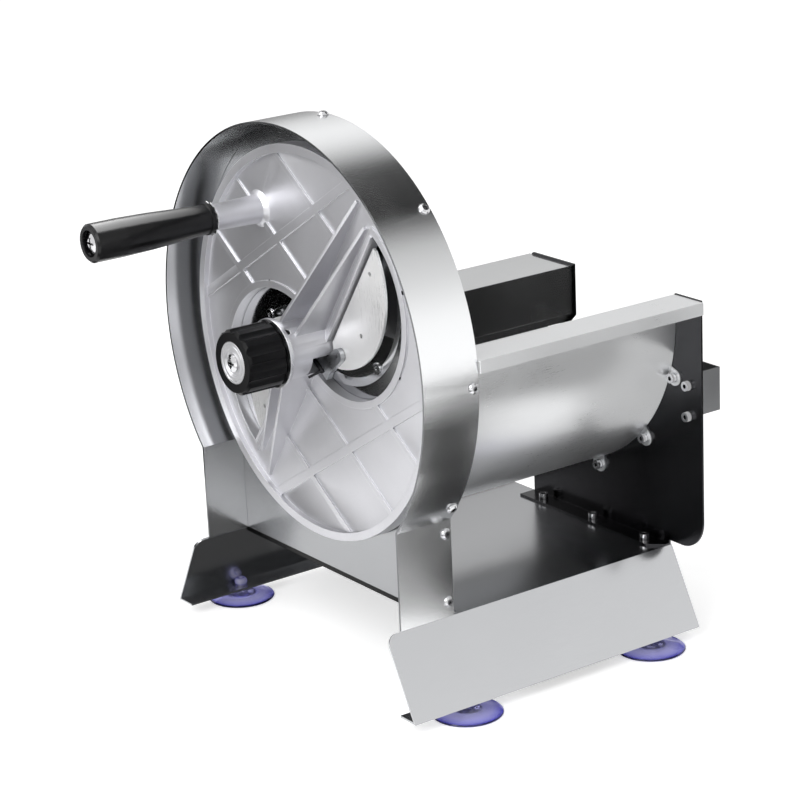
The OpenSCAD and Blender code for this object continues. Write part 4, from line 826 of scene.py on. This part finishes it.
class SLICER_OT_stage(bpy.types.Operator):
    """Builds the white sweep, the softboxes, the arch, the cards and the camera"""

    bl_idname = "slicer.stage"
    bl_label = "Studio"

    def execute(self, context):
        scene = context.scene
        studio = scene.slicer_studio
        scene.view_settings.view_transform = "Standard"
        self.camera(scene, studio.lens)
        self.room(scene, studio.fill)
        self.floor()
        for name, share, side, place, aim in SOFTBOXES:
            self.softbox(name, studio.key * share, side, place, aim)
        self.arch(studio.arch)
        self.cards()
        return {"FINISHED"}

    def camera(self, scene, lens):
        """The photograph's camera, from its angles, place and lens."""
        turn, tilt, roll = (math.radians(a) for a in (VIEW_TURN, VIEW_TILT, VIEW_ROLL))
        ahead = Vector((-math.sin(turn) * math.cos(tilt), math.cos(turn) * math.cos(tilt),
                        -math.sin(tilt)))
        right = Vector((math.cos(turn), math.sin(turn), 0))
        up = right.cross(ahead)
        across = right * math.cos(roll) + up * math.sin(roll)
        upward = -right * math.sin(roll) + up * math.cos(roll)
        eye = bpy.data.objects.new("Camera", bpy.data.cameras.new("Camera"))
        scene.collection.objects.link(eye)
        rows = [[across[i], upward[i], -ahead[i], VIEW_PLACE[i]] for i in range(3)]
        eye.matrix_world = Matrix(rows + [[0, 0, 0, 1]])
        eye.data.lens = lens
        eye.data.sensor_width = SENSOR
        eye.data.clip_start = 0.05
        eye.data.clip_end = 50
        scene.camera = eye

    def room(self, scene, fill):
        """A room that is white to the eye, in metal and through the cups, and a dimmer light."""
        world = bpy.data.worlds.new("White room")
        scene.world = world
        world.use_nodes = True
        tree = world.node_tree
        tree.nodes.clear()
        path = add(tree, "ShaderNodeLightPath")
        seen = add(tree, "ShaderNodeMath",
                   links={0: path.outputs["Is Camera Ray"], 1: path.outputs["Is Glossy Ray"]},
                   operation="MAXIMUM")
        seen = add(tree, "ShaderNodeMath",
                   links={0: seen.outputs[0], 1: path.outputs["Is Transmission Ray"]},
                   operation="MAXIMUM")
        level = add(tree, "ShaderNodeMapRange", {"To Min": fill, "To Max": 1.0},
                    {"Value": seen.outputs[0]})
        light = add(tree, "ShaderNodeBackground", {"Color": WHITE}, {"Strength": level.outputs[0]})
        add(tree, "ShaderNodeOutputWorld", links={"Surface": light.outputs[0]})

    def floor(self):
        """White paper under the cups: it keeps the shadow, and its glow lights nothing matt."""
        bpy.ops.object.select_all(action="DESELECT")
        bpy.ops.mesh.primitive_grid_add(x_subdivisions=4, y_subdivisions=4, size=SWEEP_SIDE,
                                        location=(0, 0, -SWEEP_DROP))
        ground = bpy.context.object
        ground.name = "Sweep"
        freeze(ground)
        mat, tree = new_material("matt white paper")
        path = add(tree, "ShaderNodeLightPath")
        paper = add(tree, "ShaderNodeBsdfDiffuse", {"Color": PAPER})
        glow = add(tree, "ShaderNodeEmission", {"Color": WHITE, "Strength": SWEEP_GLOW})
        both = add(tree, "ShaderNodeAddShader", links={0: paper.outputs[0], 1: glow.outputs[0]})
        mix = add(tree, "ShaderNodeMixShader",
                  links={0: path.outputs["Is Diffuse Ray"], 1: both.outputs[0],
                         2: paper.outputs[0]})
        close(mat, tree, mix)
        ground.data.materials.append(mat)

    def softbox(self, name, power, side, place, aim):
        """A square lamp that faces a point."""
        light = bpy.data.lights.new(name, "AREA")
        light.shape = "RECTANGLE"
        light.size = side
        light.size_y = side
        light.energy = power
        lamp = bpy.data.objects.new(name, light)
        bpy.context.scene.collection.objects.link(lamp)
        lamp.location = place
        lamp.rotation_euler = (Vector(aim) - Vector(place)).to_track_quat("-Z", "Y").to_euler()

    def arch(self, strength):
        """A painted arch, lit in bands that run along the shaft, that only metal shows."""
        bpy.ops.object.select_all(action="DESELECT")
        bpy.ops.mesh.primitive_cylinder_add(
            vertices=96, radius=ARCH_RADIUS, depth=ARCH_LENGTH, end_fill_type="NOTHING",
            location=ARCH_PLACE, rotation=(math.radians(90), 0, 0))
        arch = bpy.context.object
        arch.name = "Arch"
        freeze(arch)
        edit_all()
        bpy.ops.mesh.bisect(plane_co=(0, 0, 2 * MM), plane_no=(0, 0, 1), clear_inner=True)
        bpy.ops.object.mode_set(mode="OBJECT")
        mat, tree = new_material("painted arch cloth")
        place = add(tree, "ShaderNodeTexCoord")
        parts = add(tree, "ShaderNodeSeparateXYZ", links={0: place.outputs["Object"]})
        rise = add(tree, "ShaderNodeMath", {1: ARCH_PLACE[2]}, {0: parts.outputs["Z"]},
                   operation="SUBTRACT")
        turn = add(tree, "ShaderNodeMath", links={0: parts.outputs["X"], 1: rise.outputs[0]},
                   operation="ARCTAN2")
        share = add(tree, "ShaderNodeMapRange",
                    {"From Min": math.radians(-ARCH_HALF), "From Max": math.radians(ARCH_HALF)},
                    {"Value": turn.outputs[0]})
        ramp = add(tree, "ShaderNodeValToRGB", links={0: share.outputs[0]})
        # The ramp has its first and last stop already.
        stops = ramp.color_ramp.elements
        for degrees, light in ARCH_BANDS[1:-1]:
            stops.new((degrees + ARCH_HALF) / (2 * ARCH_HALF))
        for stop, (degrees, light) in zip(stops, ARCH_BANDS):
            stop.color = (light, light, light, 1)
        glow = add(tree, "ShaderNodeEmission", {"Strength": strength}, {"Color": ramp.outputs[0]})
        close(mat, tree, glow)
        arch.data.materials.append(mat)
        self.mirror_only(arch)

    def cards(self):
        """Dark and light cards that show only in polished metal, as its reflections need them."""
        trough_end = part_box("feed_chute")[1].y
        tip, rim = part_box("crank_grip")[0].y + 0.01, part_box("guard_band")[0].y - 0.004
        cup = middle("suction_cup_front_left")
        clear = True
        # Name, place and size in metres, turn in degrees, tones along its length, a clear back.
        rows = (
            ("Side strip far", (0.57, 0.28, 0.0014), (0.44, 0.13), (0, 0, 32), (0.02, 0.5)),
            ("Side strip near", (0.2608, 0.1003, 0.0016), (0.31, 0.074), (0, 0, 24.5), (0.01,)),
            ("Trough strip", (0.51, 0.385, 0.0013), (0.5, 0.1), (0, 0, 31), (0.05,)),
            ("Rail card", (0.74, 0.66, 0.0012), (0.62, 0.44), (0, 0, 0), (0.02,)),
            ("Leg card", (0.39, 0.1, 0.0012), (0.3, 0.08), (0, 0, 34), (0.45, 0.08)),
            ("Rear floor card", (-0.32, 0.38, 0.001), (0.5, 0.4), (0, 0, 0), (0.03,)),
            ("Left rear card", (-0.115, 0.12, 0.068), (0.09, 0.2), (0, 0, 0), (0.02,)),
            ("Trough end card", (0.145, trough_end - 0.0004, 0.15), (0.09, 0.12), (90, 0, 0),
             (0.55,), clear),
            ("Grip light card", (CRANK.x - 0.01, (tip + rim) / 2, CRANK.z + 0.045),
             (rim - tip, 0.065), (180, 0, 90), (11.0, 3.0), clear),
            ("Left cup card", (cup.x + 0.008, cup.y, 0.0078), (0.08, 0.08), (0, 0, 0),
             (0.07,), clear),
            ("Box floor card", (-0.005, 0.09, 0.185), (0.07, 0.26), (0, 0, 0), (0.02,)),
            # Painted shadow: the dark card under the stand stands in for the shade on the floor
            # beneath it, seen in the wings.
            ("Under stand card", (0.0, 0.045, 0.001), (0.285, 0.28), (0, 0, 0), (0.09,)),
            ("Front left card", (-0.27, -0.2, 0.19), (0.2, 0.3), (90, 0, -35), (0.03,)),
            ("Front floor card", (0.2, -0.37, 0.001), (0.5, 0.34), (0, 0, 0), (0.22,)),
            ("Chute card", (0.1, 0.13, 0.205), (0.36, 0.09), (90, 0, 90), (0.045,)),
        )
        for row in rows:
            self.card(*row)

    def card(self, name, place, size, turn, tones, clear=False):
        """A flat card with a black or a clear back, lit in one tone or in two that blend."""
        bpy.ops.object.select_all(action="DESELECT")
        bpy.ops.mesh.primitive_grid_add(x_subdivisions=2, y_subdivisions=2, size=1, location=place,
                                        rotation=[math.radians(t) for t in turn])
        obj = bpy.context.object
        obj.name = name.replace(" ", "_")
        obj.scale = (size[0], size[1], 1)
        freeze(obj)
        mat, tree = new_material(name + " cloth")
        spread = add(tree, "ShaderNodeUVMap", uv_map=obj.data.uv_layers[0].name)
        along = add(tree, "ShaderNodeSeparateXYZ", links={0: spread.outputs[0]})
        level = add(tree, "ShaderNodeMapRange", {"To Min": tones[0], "To Max": tones[-1]},
                    {"Value": along.outputs["X"]})
        side = add(tree, "ShaderNodeNewGeometry")
        front = add(tree, "ShaderNodeMath", {0: 1.0}, {1: side.outputs["Backfacing"]},
                    operation="SUBTRACT")
        power = add(tree, "ShaderNodeMath", links={0: level.outputs[0], 1: front.outputs[0]},
                    operation="MULTIPLY")
        face = add(tree, "ShaderNodeEmission", {"Color": WHITE}, {"Strength": power.outputs[0]})
        if clear:
            back = add(tree, "ShaderNodeBsdfTransparent")
            face = add(tree, "ShaderNodeMixShader",
                       links={0: side.outputs["Backfacing"], 1: face.outputs[0],
                              2: back.outputs[0]})
        close(mat, tree, face)
        obj.data.materials.append(mat)
        self.mirror_only(obj)

    def mirror_only(self, obj):
        """Shows an object in glossy surfaces alone."""
        obj.visible_camera = False
        obj.visible_diffuse = False
        obj.visible_shadow = False
        obj.visible_transmission = False


class SLICER_PT_panel(bpy.types.Panel):
    """Lists the slicer's operators and values"""

    bl_label = "Hand Crank Slicer"
    bl_idname = "SLICER_PT_panel"
    bl_space_type = "VIEW_3D"
    bl_region_type = "UI"
    bl_category = "Slicer"

    def draw(self, context):
        for op in OPERATORS:
            self.layout.operator(op.bl_idname)
        for group in ("slicer_finish", "slicer_sizes", "slicer_studio"):
            values = getattr(context.scene, group)
            column = self.layout.column()
            for key in values.bl_rna.properties.keys():
                if key not in ("rna_type", "name"):
                    column.prop(values, key)


OPERATORS = (SLICER_OT_stage, SLICER_OT_steel, SLICER_OT_casting, SLICER_OT_blades,
             SLICER_OT_hardware, SLICER_OT_plastics, SLICER_OT_dial, SLICER_OT_cups)
CLASSES = (SlicerFinish, SlicerSizes, SlicerStudio) + OPERATORS + (SLICER_PT_panel,)


def register():
    for cls in CLASSES:
        bpy.utils.register_class(cls)
    bpy.types.Scene.slicer_finish = bpy.props.PointerProperty(type=SlicerFinish)
    bpy.types.Scene.slicer_sizes = bpy.props.PointerProperty(type=SlicerSizes)
    bpy.types.Scene.slicer_studio = bpy.props.PointerProperty(type=SlicerStudio)


def unregister():
    del bpy.types.Scene.slicer_finish
    del bpy.types.Scene.slicer_sizes
    del bpy.types.Scene.slicer_studio
    for cls in reversed(CLASSES):
        bpy.utils.unregister_class(cls)


def main():
    register()
    for op in OPERATORS:
        part, name = op.bl_idname.split(".")
        getattr(getattr(bpy.ops, part), name)()


if __name__ == "__main__":
    main()
